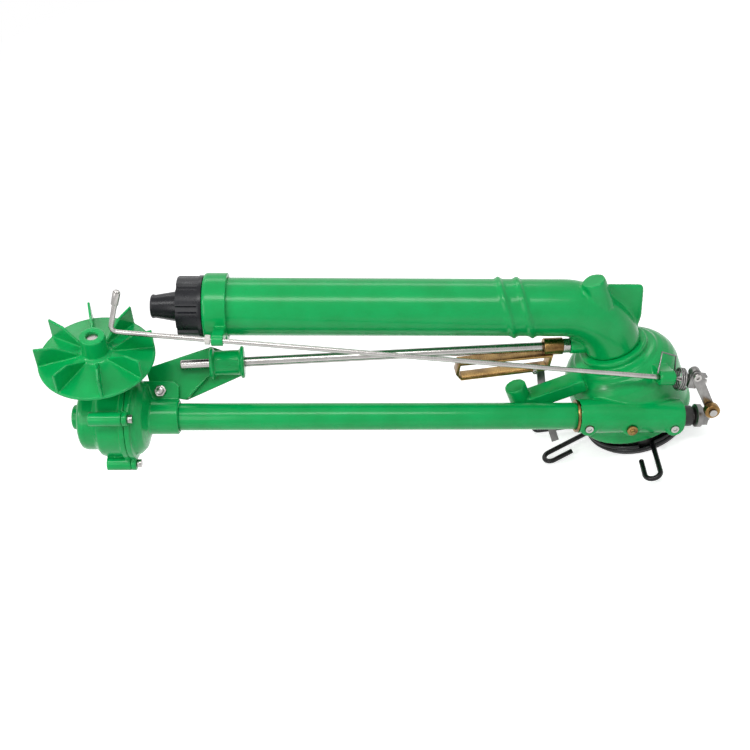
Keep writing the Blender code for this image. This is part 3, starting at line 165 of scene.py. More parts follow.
# Gearbox
CASE_RADIUS = 47.5
CASE_SMALL = 39.5
CASE_WALL = 5
CASE_NOSE = 15
CASE_END = 636
FLANGE_RADIUS = 51.5
FLANGE_THICK = 6
JOINT_PLACE = 577
CASE_START = JOINT_PLACE + GAP
LUG_RADIUS = 8.4
LUG_CIRCLE = 56.5
LUG_TURNS = (33, 123, 213, 303)  # degrees about the drive axis, from the rise
LUG_LENGTHS = (8, 29, 29, 38)
LUG_BOLT = 3
LUG_BOLT_HEAD = 5
NECK_OUTER = 17
NECK_BORE = 11
NECK_RISE = -9
SLEEVE_START = 519
SLEEVE_RADIUS = TUBE_RADIUS + 4.5
EAR_LOW = 0
EAR_HIGH = 6.5
EAR_TOP = 22
EAR_FRONT = 566
EAR_FOOT = -12

# Turbine
TURBINE_PLACE = 609.3
TURBINE_SIDE = 66
TURBINE_RISE = -30.6
TURBINE_LEAN = radians(13.5)
TURBINE_RADIUS = 67.5
TURBINE_SHAFT = 6.7
BLADE_COUNT = 8
BLADE_HEIGHT = 27
BLADE_THICK = 3
BLADE_TURN = radians(14)
HUB_RADIUS = 14.7
HUB_HEIGHT = 34
HUB_FOOT = -8
HUB_SCREW = 2.5
HUB_SCREW_TURN = radians(20)
HUB_SCREW_RISE = 18

# Rock shaft, its bracket, its frame and the trip arm
ROCK_REAR = (48, 8, -50.5)
ROCK_FRONT = (520, 32, -64.5)
ROCK_START = 23
ROCK_RADIUS = 6.2
ROCK_BOSS = 4.5  # the boss's wall round the shaft
ROCK_NUT = 10.3
BUSH_RADIUS = 15.5
BUSH_BEAD = 20
BUSH_PLACE = 463
BUSH_LENGTH = 42
BRACKET_THICK = 6
BRACKET_REACH = 22  # from the tube's axis to the bracket's foot
WEB_LOW = EAR_HIGH + GAP
WEB_HIGH = WEB_LOW + BRACKET_THICK
BRACKET_BOLT = 4
BRACKET_BOLT_SPOT = (543, 9.5)
BRACKET_BOLT_HEX = 7.4
FRAME_WIDTH = 18
FRAME_STRIP = 3
FRAME_SCREW = 3.6
FRAME_SCREW_SPOT = (78, -30.6)
TRIP_WIDTH = 10
TRIP_THICK = 5
TRIP_PLACE = -1
TRIP_KNEE = (-108, 84)
TRIP_FOOT = (-111, 18.4)

# Jet breaker
BREAKER_REAR = (-73, 76, -54.5)
BREAKER_FRONT = (591, 70.6, 6)
BREAKER_TAIL = BREAKER_REAR[0] - 48
BREAKER_RADIUS = 3
BREAKER_BEND = 7
BREAKER_TIP = 54
TIP_LEAN = 9
TIP_RADIUS = 4.4
WASHER_RADIUS = 5.8
WASHER_PLACE = COLLAR_START + 17
WASHER_THICK = 6
SPRING_WIRE = 1.1
SPRING_RADIUS = 13
SPRING_TURNS = 3.5
SPRING_PITCH = 2.6
SPRING_START = radians(70)
SPRING_PLACE = BREAKER_REAR[0] - 11
CLAMP_RADIUS = 7.5
CLAMP_EYE = 6.8
CLAMP_LOW = BREAKER_REAR[0] - 32.1
CLAMP_WIDTH = 11
CLAMP_FACE = -13
CLAMP_SCREW = 2.5
ARM_RISE = 15
ARM_THICK = 3
ARM_FAR = (30, -27.5 - ARM_RISE)
ROLLER_PIN = 3
ROLLER_RADIUS = 9.2
ROLLER_WIDTH = 10

# Edges, and the size of the steps that a casting is made of
EDGE = 0.35
SHARP = radians(38)
CAST = {"dome_housing": 1.35, "barrel_casting": 1.95, "barrel_collar": 0.9, "gearbox_case": 0.95,
        "gearbox_cover": 0.95, "arm_bracket": 0.9, "turbine_wheel": 0.85}

# Studio, with distances and lamps in metres and watts
FLOOR_HALF = 8
FLOOR_DROP = -0.6  # millimetres
FLOOR_LIFT = 0.68
FLOOR_COLOUR = (0.82, 0.82, 0.82, 1)
AMBIENT = 0.3
AMBIENT_COLOUR = (0.97, 0.98, 1, 1)
WHITE = (1, 1, 1, 1)
KEY_DIRECTION = (0.6, 0.36, -0.72)
KEY_POWER = 0.45
KEY_SPREAD = radians(8)
STRIP_HEIGHT = radians(59)
STRIP_ALONG = 560  # millimetres
STRIP_DISTANCE = 1.5
STRIP_SIZE = (1.6, 0.3)
STRIP_POWER = 13
RIM_HEIGHT = radians(131)
RIM_POWER = 5
FRONT_ALONG = 520  # millimetres
FRONT_TOWARD = (-0.45, -0.8, 0.45)
FRONT_SIZE = (0.7, 0.5)
FRONT_POWER = 2.6

# Camera
CAMERA_AIM = 281
CAMERA_DISTANCE = 1168
CAMERA_DROP = 83.5
CAMERA_HEIGHT = radians(33)
CAMERA_TURN = radians(2.75)
LENS = 45.6
SENSOR = 36

# Bodies that pieces ride on
HEAD = "head"
SPIN = "drive"
TURN = "turbine"
ROCKER = "rocker"
SWING = "breaker"

SHOWN = []
SHAPES = []
SURFACES = {}

UP = Vector((0, 0, 1))
ALONG = Vector((-cos(BARREL_PITCH), 0, sin(BARREL_PITCH)))
SIDE = Vector((0, -1, 0))
RISE = Vector((sin(BARREL_PITCH), 0, cos(BARREL_PITCH)))


def gun(along, side, rise):
    """A place on the gun, in world millimetres."""
    return Vector((0, 0, AXIS_CROSSING)) + along * ALONG + side * SIDE + rise * RISE


def from_axes(x, y, z, origin):
    """A placement with the three axes, and its origin in millimetres."""
    matrix = Matrix((x, y, z)).transposed().to_4x4()
    matrix.translation = origin * MM
    return matrix


def placed(origin, z_axis, x_hint):
    """A placement with its Z along z_axis and its X near x_hint."""
    z = z_axis.normalized()
    x = (x_hint - x_hint.dot(z) * z).normalized()
    return from_axes(x, z.cross(x), z, origin)


def moved(place, x, y, z):
    """A placement carried along its own axes, in millimetres."""
    return place @ Matrix.Translation((x * MM, y * MM, z * MM))


def turned_by(place, angle, axis):
    """A placement turned about its own axis."""
    return place @ Matrix.Rotation(angle, 4, axis)


def line_frame(rear, front):
    """A placement with Z from rear to front, and z at 0 where along is 0."""
    start = gun(*rear)
    axis = (gun(*front) - start).normalized()
    origin = start - axis * (rear[0] / axis.dot(ALONG))
    return placed(origin, axis, RISE)


def on_line(rear, front, along):
    """Where the line from rear to front is at a place along the barrel."""
    share = (along - rear[0]) / (front[0] - rear[0])
    return tuple(a + (b - a) * share for a, b in zip(rear, front))


BUSH = on_line(ROCK_REAR, ROCK_FRONT, BUSH_PLACE)


def bracket_frame():
    """A placement in the bracket's plane, with Y from the sleeve to the rock shaft's bush."""
    sleeve = gun(0, DRIVE_SIDE, DRIVE_RISE)
    across = gun(*BUSH) - sleeve
    across -= across.dot(ALONG) * ALONG
    across.normalize()
    return placed(sleeve + across * BRACKET_REACH, ALONG.cross(across), ALONG)


WORLD = Matrix.Identity(4)
GUN = placed(gun(0, 0, 0), RISE, ALONG)
BARREL = placed(gun(0, 0, 0), ALONG, RISE)
DRIVE = placed(gun(0, DRIVE_SIDE, DRIVE_RISE), ALONG, RISE)
TURBINE_AXIS = cos(TURBINE_LEAN) * RISE + sin(TURBINE_LEAN) * SIDE
TURBINE = placed(gun(TURBINE_PLACE, TURBINE_SIDE, TURBINE_RISE), TURBINE_AXIS, ALONG)
HUB_HOLE = moved(turned_by(turned_by(TURBINE, HUB_SCREW_TURN, "Z"), pi / 2, "Y"), -HUB_SCREW_RISE, 0, 0)
ROCK = line_frame(ROCK_REAR, ROCK_FRONT)
BREAKER = line_frame(BREAKER_REAR, BREAKER_FRONT)
BRACKET = bracket_frame()
BRACKET_HOLE = moved(BRACKET, *BRACKET_BOLT_SPOT, 0)
SHAFT_CROSSING = ((TURBINE_SIDE - DRIVE_SIDE) * sin(TURBINE_LEAN)
                  + (TURBINE_RISE - DRIVE_RISE) * cos(TURBINE_LEAN))  # how far below the turbine
WHEEL_BOTTOM = AXIS_CROSSING + DRIVE_RISE / cos(BARREL_PITCH) - WHEEL_WIDTH / 2

# In the roller arm's frame, X points towards the rear, Y along the rise and Z outwards
ARM_AXES = Matrix(((0, 1, 0, 0), (0, 0, -1, 0), (-1, 0, 0, 0), (0, 0, 0, 1)))
ARM = moved(BREAKER, ARM_RISE, CLAMP_FACE, CLAMP_LOW + CLAMP_WIDTH / 2) @ ARM_AXES
ROLLER = moved(ARM, *ARM_FAR, 0)

# In the frame's side view, X points along the shaft, Y along the rise and Z sideways
SIDE_VIEW = ROCK @ Matrix(((0, 1, 0, 0), (0, 0, 1, 0), (1, 0, 0, 0), (0, 0, 0, 1)))

# Z points out of each boss, and along each lug
BOSSES = [placed(gun(along, BOSS_FACE, BOSS_RISE), SIDE, ALONG) for along in BOSS_PLACES]
LUGS = [DRIVE @ moved(Matrix.Rotation(radians(turn), 4, "Z"), LUG_CIRCLE, 0, 0) for turn in LUG_TURNS]


def link_object(name, data):
    """An object of the data, linked to the scene."""
    item = bpy.data.objects.new(name, data)
    bpy.context.scene.collection.objects.link(item)
    return item


def add_object(name, mesh, place, rides=None):
    """A shown piece when it rides on a body, or else a shape to join or cut with."""
    piece = link_object(name if rides is None else name + "_shown", mesh)
    piece.matrix_basis = place
    if rides is None:
        SHAPES.append(piece)
    else:
        SHOWN.append((piece, name, rides))
    return piece


def mesh_from(build, name):
    """A mesh of what was built, which is then let go."""
    mesh = bpy.data.meshes.new(name)
    build.to_mesh(mesh)
    build.free()
    return mesh


def turned(name, outline, place, rides=None, steps=FINE):
    """A solid turned about the placement's Z, with a bore where the outline starts off the axis."""
    mesh = bpy.data.meshes.new(name)
    edges = [(i, i + 1) for i in range(len(outline) - 1)]
    if outline[0][0] > 0:
        edges.append((len(outline) - 1, 0))
    mesh.from_pydata([(r * MM, 0, z * MM) for r, z in outline], edges, [])
    body = add_object(name, mesh, place, rides)
    screw = body.modifiers.new("Turn", "SCREW")
    screw.steps = steps
    screw.render_steps = steps
    screw.use_merge_vertices = True
    screw.merge_threshold = 0.00001
    return body


def raised(base, points):
    """An outline's points with the base added to their heights."""
    return [(radius, base + height) for radius, height in points]


def rod(name, radius, low, high, place, rides=None, steps=PLAIN):
    """A cylinder along the placement's Z."""
    build = bmesh.new()
    bmesh.ops.create_cone(build, cap_ends=True, segments=steps, radius1=radius * MM, radius2=radius * MM,
                          depth=(high - low) * MM)
    bmesh.ops.rotate(build, cent=(0, 0, 0), matrix=Matrix.Rotation(pi / 2, 3, "Z"), verts=build.verts)
    bmesh.ops.translate(build, vec=(0, 0, (low + high) / 2 * MM), verts=build.verts)
    return add_object(name, mesh_from(build, name), place, rides)


def ring(name, inner, outer, low, high, place, rides=None, steps=FINE):
    """A plain turned ring."""
    outline = [(inner, high), (outer, high), (outer, low), (inner, low)]
    return turned(name, outline, place, rides, steps)


def block(name, low, high, place):
    """A box from its lowest to its highest corner."""
    build = bmesh.new()
    bmesh.ops.create_cube(build, size=1)
    size = [(b - a) * MM for a, b in zip(low, high)]
    middle = [(a + b) / 2 * MM for a, b in zip(low, high)]
    bmesh.ops.scale(build, vec=size, verts=build.verts)
    bmesh.ops.translate(build, vec=middle, verts=build.verts)
    return add_object(name, mesh_from(build, name), place)


def merge_doubles(mesh, distance, outward=False):
    """Merges points within the millimetres given, and may turn the faces outwards."""
    build = bmesh.new()
    build.from_mesh(mesh)
    bmesh.ops.remove_doubles(build, verts=build.verts, dist=distance * MM)
    if outward:
        bmesh.ops.recalc_face_normals(build, faces=build.faces)
    build.to_mesh(mesh)
    build.free()


def curve_object(name, points, cyclic, dimensions="3D"):
    """A curve of straight stretches between the points."""
    curve = bpy.data.curves.new(name, "CURVE")
    curve.dimensions = dimensions
    spline = curve.splines.new("POLY")
    spline.points.add(len(points) - 1)
    for target, point in zip(spline.points, points):
        values = [v * MM for v in point] + [0] * (3 - len(point))
        target.co = (*values, 1)
    spline.use_cyclic_u = cyclic
    return link_object(name, curve)


def welded(body, name):
    """The curve's mesh with its caps welded on. The curve is removed."""
    bpy.context.view_layer.update()
    shape = body.evaluated_get(bpy.context.evaluated_depsgraph_get())
    mesh = bpy.data.meshes.new_from_object(shape)
    mesh.materials.clear()
    merge_doubles(mesh, 0.001, outward=True)
    mesh.name = name
    bpy.data.objects.remove(body)
    return mesh


def plate(name, outline, low, high, place, rides=None):
    """A flat outline in the placement's XY plane, made as thick as from low to high."""
    body = curve_object(name, outline, True, "2D")
    body.data.fill_mode = "BOTH"
    body.data.extrude = (high - low) / 2 * MM
    mesh = welded(body, name)
    mesh.transform(Matrix.Translation((0, 0, (low + high) / 2 * MM)))
    return add_object(name, mesh, place, rides)


def swept(name, points, radius, place, rides=None, cyclic=False, sides=2):
    """A round bar along the points, with flat closed ends."""
    body = curve_object(name, points, cyclic)
    body.data.bevel_depth = radius * MM
    body.data.bevel_resolution = sides
    body.data.use_fill_caps = not cyclic
    return add_object(name, welded(body, name), place, rides)


def rounded(corners, radius, steps):
    """The corners' path with each inner corner made an arc."""
    corners = [Vector(c) for c in corners]
    path = [corners[0]]
    for before, here, after in zip(corners, corners[1:], corners[2:]):
        back = (before - here).normalized()
        ahead = (after - here).normalized()
        half = back.angle(ahead) / 2
        reach = radius / tan(half)
        centre = here + (back + ahead).normalized() * (radius / sin(half))
        start = here + back * reach - centre
        end = here + ahead * reach - centre
        turn = start.angle(end)
        for i in range(steps + 1):
            share = i / steps
            mix = start * sin((1 - share) * turn) + end * sin(share * turn)
            path.append(centre + mix / sin(turn))
    path.append(corners[-1])
    return path


def arc(centre, radius, start, end, steps):
    """Points on a flat arc, from angle start to angle end."""
    angles = [start + (end - start) * i / steps for i in range(steps + 1)]
    return [(centre[0] + radius * cos(a), centre[1] + radius * sin(a)) for a in angles]


def hexagon(name, radius, low, high, place, rides=None):
    """A six-sided bar along the placement's Z."""
    outline = arc((0, 0), radius, 0, 2 * pi * 5 / 6, 5)
    return plate(name, outline, low, high, place, rides)


def combine(body, others, operation):
    """The body with a boolean modifier for each other shape."""
    for other in others:
        change = body.modifiers.new(other.name, "BOOLEAN")
        change.operation = operation
        change.object = other
        change.solver = "EXACT"
    return body


def join(body, *others):
    """The body with the others joined to it."""
    return combine(body, others, "UNION")


def cut(body, *others):
    """The body with the others cut out of it."""
    return combine(body, others, "DIFFERENCE")


def drill(body, radius, low, high, place, steps=PLAIN):
    """Cuts a round hole along the placement's Z."""
    cut(body, rod(body.name + "_hole", radius, low, high, place, None, steps))


def stud(body, radius, low, high, place, steps=PLAIN):
    """Joins on a round bar along the placement's Z."""
    join(body, rod(body.name + "_bar", radius, low, high, place, None, steps))


def rod_lug(name, lug):
    """A finger that the breaker rod runs through, as a bar from its root and a round end."""
    along, root, length, radius = lug
    hole = on_line(BREAKER_REAR, BREAKER_FRONT, along)
    place = placed(gun(*hole), ALONG, RISE)
    bar_x = root[1] - hole[2]
    bar_y = hole[1] - root[0]
    reach = sqrt(bar_x * bar_x + bar_y * bar_y)
    nx = -bar_y / reach * radius
    ny = bar_x / reach * radius
    outline = [(nx, ny), (-nx, -ny), (bar_x - nx, bar_y - ny), (bar_x + nx, bar_y + ny)]
    half = length / 2
    bar = plate(name + "_bar", outline, -half, half, place)
    return bar, rod(name + "_end", radius, -half + 0.01, half - 0.01, place)


def make_inlet_base():
    """The fixed inlet with its neck, shoulder and bolt holes."""
    outline = [
        (NECK_RADIUS, NECK_TOP), (NECK_RADIUS, SHOULDER_TOP), (SHOULDER_RADIUS, SHOULDER_TOP),
        (SHOULDER_RADIUS, WHEEL_BOTTOM - GAP), (LEDGE_RADIUS, WHEEL_BOTTOM - GAP),
        (LEDGE_RADIUS, BASE_HEIGHT), (RING_SEAT, BASE_HEIGHT), (RING_SEAT, LIP_HEIGHT),
        (INLET_LIP, LIP_HEIGHT), (INLET_LIP, 0), (INLET_BORE, 0), (INLET_BORE, NECK_TOP),
    ]
    base = turned("inlet_base", outline, WORLD, "base")
    for k in range(BOLT_COUNT):
        angle = 2 * pi * (k + 0.5) / BOLT_COUNT
        spot = Vector((BOLT_CIRCLE * cos(angle), BOLT_CIRCLE * sin(angle), 0))
        drill(base, BOLT_HOLE, -1, BOLT_DEPTH, placed(spot, UP, ALONG))


def on_ring(angle):
    """A point on a stop ring's circle."""
    return Vector((STOP_RING * cos(angle), STOP_RING * sin(angle)))


def hook_path(hook, next_angle):
    """A stop's end from its tip round the curl and in along the leg to the ring."""
    root, lean, length, curl = hook
    steps = 16
    start = on_ring(root)
    ahead = Vector((cos(lean), sin(lean)))
    across = Vector((-ahead.y, ahead.x)) * curl
    out = start + ahead * length
    path = [out + across * 2 * STOP_HOOK - ahead * STOP_RETURN]
    for i in range(steps + 1):
        angle = pi * (1 - i / steps)
        path.append(out + across * STOP_HOOK * (1 - cos(angle)) + ahead * STOP_HOOK * sin(angle))
    bend = rounded([p.to_3d() for p in (out, start, on_ring(next_angle))], STOP_BEND, 8)
    return path + [p.to_2d() for p in bend[1:-1]]


def stop_path(first, last, height):
    """A wire hooked at its first end, nearly a full ring, and hooked or plain at its last end."""
    steps = 90
    hooked = isinstance(last, tuple)
    start = first[0]
    end = (last[0] if hooked else last) + (2 * pi if first[3] > 0 else 0)
    angles = [start + (end - start) * i / steps for i in range(steps + 1)]
    ring_points = [on_ring(a) for a in angles]
    if hooked:
        ring_points = ring_points[:-1] + list(reversed(hook_path(last, angles[-2])))
    points = hook_path(first, angles[1]) + ring_points[1:]
    return [Vector((p.x, p.y, height)) for p in points]


def make_stops():
    """The two sprung stop wires, one on top of the other in the base's seat."""
    low = LIP_HEIGHT + GAP + STOP_WIRE
    path = stop_path(NEAR_HOOK, FAR_HOOK, low)
    swept("lower_stop_ring", path, STOP_WIRE, WORLD, "lower_stop", sides=6)
    path = stop_path(SIDE_HOOK, PLAIN_END + 2 * pi, low + STOP_PITCH)
    swept("upper_stop_ring", path, STOP_WIRE, WORLD, "upper_stop", sides=6)


def make_dome():
    """The bell-shaped casting with the worm's housing, bosses, rod lug and detent arm."""
    lip = LIP_BEAD
    wide = DOME_RADIUS
    outline = raised(DOME_TOP, [
        (0, 0), (lip - 1.5, 0), (lip, -1.5), (lip, -5.5), (lip - 2, -7), (lip + 1, -9.5), (lip + 9, -11),
        (lip + 10.5, -14), (lip + 16, -16.5), (lip + 22, -22), (wide - 3, -30), (wide - 0.5, -40),
        (wide, -55),
    ])
    outline += raised(SKIRT_BOTTOM, [(wide, 12), (wide + 2, 6), (wide + 2, 0), (0, 0)])
    dome = turned("dome_housing", outline, WORLD, HEAD)
    stud(dome, HOUSING_RADIUS, HOUSING_REAR, HOUSING_FRONT, DRIVE, FINE)
    slab_low = (DRIVE_RISE - 19, -DRIVE_SIDE - 9, HOUSING_REAR + 3)
    slab_high = (DRIVE_RISE, -DRIVE_SIDE + 12, HOUSING_FRONT - 2)
    join(dome, block("housing_web", slab_low, slab_high, BARREL))
    for boss in BOSSES:
        stud(dome, BOSS_RADIUS, -BOSS_ROOT, 0, boss)
    join(dome, *rod_lug("dome_lug", DOME_LUG))
    join(dome, block("detent_arm", *DETENT_ARM, WORLD))
    detent = placed(Vector((*DETENT_SPOT, 0)), UP, ALONG)
    stud(dome, DETENT_RADIUS, DETENT_ARM[0][2], DETENT_TOP, detent)
    hollow_dome(dome)


def hollow_dome(dome):
    """Cuts the dome's inside, the worm's bore and the seats of what the dome holds."""
    inside = DOME_RADIUS - DOME_WALL
    neck = NECK_RADIUS
    cavity = raised(DOME_TOP, [(0, 5), (INLET_BORE, 5), (INLET_BORE, -3), (neck + GAP, -3)])
    cavity += [(neck + GAP, NECK_SEAT), (neck + 4, NECK_SEAT), (neck + 4, DOME_ROOF)]
    cavity += [(DOME_RADIUS - 12, DOME_ROOF), (inside, DOME_ROOF - 5.5)]
    cavity += raised(SKIRT_BOTTOM, [(inside, -5), (0, -5)])
    cut(dome, turned("dome_cavity", cavity, WORLD))
    drill(dome, WORM_BORE, HOUSING_REAR + 18, 10, DRIVE, FINE)
    drill(dome, TUBE_SEAT + 2 * GAP, 4, HOUSING_FRONT + 5, DRIVE, FINE)
    drill(dome, REAR_SEAT + GAP, HOUSING_REAR - 5, HOUSING_REAR + 20, DRIVE)
    for boss in BOSSES:
        drill(dome, SCREW_RADIUS + GAP, -BOSS_DEPTH - GAP, 5, boss)
    low = BREAKER_REAR[0] - 12
    high = BREAKER_REAR[0] + 12
    drill(dome, BREAKER_RADIUS + GAP, low, high, BREAKER)


def make_tube_bush():
    """The bush that holds the drive tube in the dome."""
    inner = TUBE_RADIUS + GAP
    rim = TUBE_SEAT + 1.3
    outline = raised(HOUSING_FRONT, [(inner, 3), (rim, 3), (rim, GAP), (TUBE_SEAT, GAP)])
    outline += [(TUBE_SEAT, TUBE_START - 1), (inner, TUBE_START - 1)]
    turned("tube_bush", outline, DRIVE, HEAD)


def make_rear_bush():
    """The bush that carries the drive shaft's tail."""
    inner = SHAFT_RADIUS + GAP
    rim = REAR_SEAT + 3
    seat = REAR_SEAT
    points = [(inner, 17.5), (seat, 17.5), (seat, -GAP), (rim, -GAP), (rim, -12)]
    points += [(rim - 1, -13), (inner, -13)]
    turned("rear_bush", raised(HOUSING_REAR, points), DRIVE, HEAD, PLAIN)


def make_socket_screw(name, place):
    """A screw with a six-sided socket, let into a boss."""
    screw = rod(name, SCREW_RADIUS, -BOSS_DEPTH, 0.6, place, HEAD)
    cut(screw, hexagon(name + "_socket", SCREW_SOCKET, -1.3, 2, place))


def make_grease_plug():
    """The stepped plug in the middle boss."""
    outline = [
        (0, 8), (2.6, 8), (2.6, 5.5), (3.4, 5), (3.4, 3.5), (6.5, 3.5), (6.5, GAP), (SCREW_RADIUS, GAP),
        (SCREW_RADIUS, -BOSS_DEPTH), (0, -BOSS_DEPTH),
    ]
    turned("grease_plug", outline, BOSSES[1], HEAD, PLAIN)


def bead_path(along):
    """A slanted loop round the barrel."""
    steps = 72
    lean = tan(BEAD_TILT) * BARREL_RADIUS
    angles = [2 * pi * i / steps for i in range(steps)]
    return [(along + lean * sin(a), BARREL_RADIUS * cos(a), BARREL_RADIUS * sin(a)) for a in angles]


def make_barrel():
    """The elbow and barrel casting with its fin, stub, slanted beads and boss."""
    bottom = DOME_TOP + GAP - AXIS_CROSSING
    foot = (sin(BARREL_PITCH) * bottom, 0, cos(BARREL_PITCH) * bottom)
    path = rounded([foot, (0, 0, 0), (BARREL_END, 0, 0)], ELBOW_BEND, 30)
    barrel = swept("barrel_casting", path, BARREL_RADIUS, GUN, HEAD, sides=22)
    for k, along in enumerate(BEAD_PLACES):
        join(barrel, swept(f"barrel_bead_{k}", bead_path(along), BEAD_WIRE, GUN, cyclic=True, sides=4))
    outline = [(14, 20), (14, 33), *arc((-44, 28), 5, pi / 2, pi, 3), (-53, -10), (-50, -32), (-22, -24)]
    fin = plate("barrel_fin", outline, -FIN_THICK / 2, FIN_THICK / 2, placed(gun(0, 0, 0), -SIDE, ALONG))
    outline = [(0, STUB_TOP), (STUB_RADIUS - 1.2, STUB_TOP), (STUB_RADIUS, STUB_FOOT), (0, STUB_FOOT)]
    stub = turned("elbow_stub", outline, placed(Vector((*STUB_SPOT, 0)), UP, ALONG))
    boss = rod("rock_boss", ROCK_RADIUS + ROCK_BOSS, 6, 34.5, ROCK)
    end = BARREL_END + SPIGOT_LENGTH
    spigot = rod("barrel_spigot", SPIGOT_RADIUS, BARREL_END - 5, end, BARREL, steps=FINE)
    join(barrel, fin, stub, boss, spigot)
    drill(barrel, ROCK_RADIUS + 2 * GAP, ROCK_START - 0.5, 40, ROCK)
    low = Vector(foot) - Vector((sin(BARREL_PITCH), 0, cos(BARREL_PITCH))) * 5
    bore = rounded([low, (0, 0, 0), (end + 5, 0, 0)], ELBOW_BEND, 30)
    cut(barrel, swept("barrel_bore", bore, BARREL_BORE, GUN, sides=22))


def make_collar():
    """The ring at the barrel's front, with the lug that guides the breaker rod."""
    inner = BARREL_RADIUS + GAP
    wide = COLLAR_RADIUS
    outline = raised(COLLAR_END, [(inner, 0), (wide - 3.5, 0), (wide - 1, -1.5), (wide, -4)])
    outline += [(wide, COLLAR_START), (inner, COLLAR_START)]
    collar = turned("barrel_collar", outline, BARREL, HEAD)
    join(collar, *rod_lug("collar_lug", COLLAR_LUG))
    drill(collar, BREAKER_RADIUS + GAP, COLLAR_START - 3, WASHER_PLACE, BREAKER)


def make_nozzle_nut():
    """The lobed nut that clamps the nozzle to the barrel."""
    pitch = 2 * pi / NUT_LOBES
    tooth = ((NUT_GROOVE, -0.4), (NUT_RADIUS, -0.34), (NUT_RADIUS, -0.11))
    tooth += tuple((radius, -share) for radius, share in reversed(tooth))
    outline = []
    for k in range(NUT_LOBES):
        for radius, share in tooth:
            angle = (k + share) * pitch
            outline.append((radius * cos(angle), radius * sin(angle)))
    end = NUT_START + NUT_LENGTH
    nut = plate("nozzle_nut", outline, NUT_START + 4, end, BARREL, HEAD)
    stud(nut, NUT_RADIUS + 1, NUT_START, NUT_START + 4.5, BARREL, FINE)
    high = NOZZLE_SEAT + NOZZLE_FLANGE + GAP
    drill(nut, SPIGOT_RADIUS + GAP, NUT_START - 2, high, BARREL, FINE)
    drill(nut, NUT_MOUTH, NUT_START, end + 2, BARREL, FINE)


def make_nozzle():
    """The tapered nozzle with its flange on the spigot and its lip at the mouth."""
    mouth = NOZZLE_MOUTH
    tip = NOZZLE_TIP
    body = NUT_MOUTH - 0.6
    flange = NOZZLE_SEAT + NOZZLE_FLANGE
    outline = raised(NOZZLE_END, [(mouth, 0), (tip - 1, 0), (tip + 0.6, -1.5), (tip + 0.6, -3.5), (tip, -5)])
    outline += [(19, NUT_START + NUT_LENGTH), (body, flange + 1), (body, flange), (SPIGOT_RADIUS, flange)]
    outline += [(SPIGOT_RADIUS, NOZZLE_SEAT), (BARREL_BORE - 2, NOZZLE_SEAT), (18, flange + 1)]
    outline += [(mouth, NOZZLE_END - 14)]
    turned("nozzle", outline, BARREL, HEAD)


def make_drive_tube():
    """The long tube from the dome to the gearbox."""
    ring("drive_tube", TUBE_BORE, TUBE_RADIUS, TUBE_START, TUBE_END, DRIVE, HEAD)


def make_cam():
    """The cam on the drive shaft's tail, with its nut."""
    place = moved(DRIVE, CAM_THROW * cos(CAM_TURN), CAM_THROW * sin(CAM_TURN), 0)
    low = CAM_PLACE
    top = low + CAM_THICK
    outline = [(0, top), (CAM_RADIUS - 4, top), (CAM_RADIUS, top - 2), (CAM_RADIUS, low), (0, low)]
    cam = turned("cam", outline, place, SPIN)
    join(cam, hexagon("cam_nut", CAM_NUT, low - 9, low + 1, DRIVE))
    drill(cam, SHAFT_RADIUS + GAP, low - 12, top + 2, DRIVE)


def make_gearbox_case():
    """The front casting with its nose, four lugs and the turbine's neck."""
    flange = CASE_START + FLANGE_THICK
    small = CASE_SMALL
    wide = CASE_RADIUS
    outline = raised(CASE_END, [
        (0, 11), (CASE_NOSE - 2, 11), (CASE_NOSE, 9.5), (CASE_NOSE, 0), (small - 6, 0), (small - 1.5, -3),
        (small, -8), (small, -20), (wide - 1, -26), (wide, -29),
    ])
    outline += [(wide, flange + 1), (FLANGE_RADIUS, flange), (FLANGE_RADIUS, CASE_START), (0, CASE_START)]
    case = turned("gearbox_case", outline, DRIVE, HEAD)
    for lug, length in zip(LUGS, LUG_LENGTHS):
        stud(case, LUG_RADIUS, CASE_START, CASE_START + length, lug)
    neck_low = 26 - SHAFT_CROSSING
    stud(case, NECK_OUTER, neck_low, NECK_RISE, TURBINE)
    below = CASE_START - 5
    small -= CASE_WALL
    wide -= CASE_WALL
    hollow = raised(CASE_END, [(0, -CASE_WALL), (small, -CASE_WALL), (small, -21), (wide, -29)])
    hollow += [(wide, below), (0, below)]
    cut(case, turned("case_hollow", hollow, DRIVE))
    drill(case, SHAFT_RADIUS + GAP, CASE_END - 8, CASE_END + 5, DRIVE)
    drill(case, NECK_BORE, neck_low - 30, NECK_RISE + 5, TURBINE)
    for lug, length in zip(LUGS, LUG_LENGTHS):
        drill(case, LUG_BOLT + GAP, below, CASE_START + min(length - 3, 14), lug)


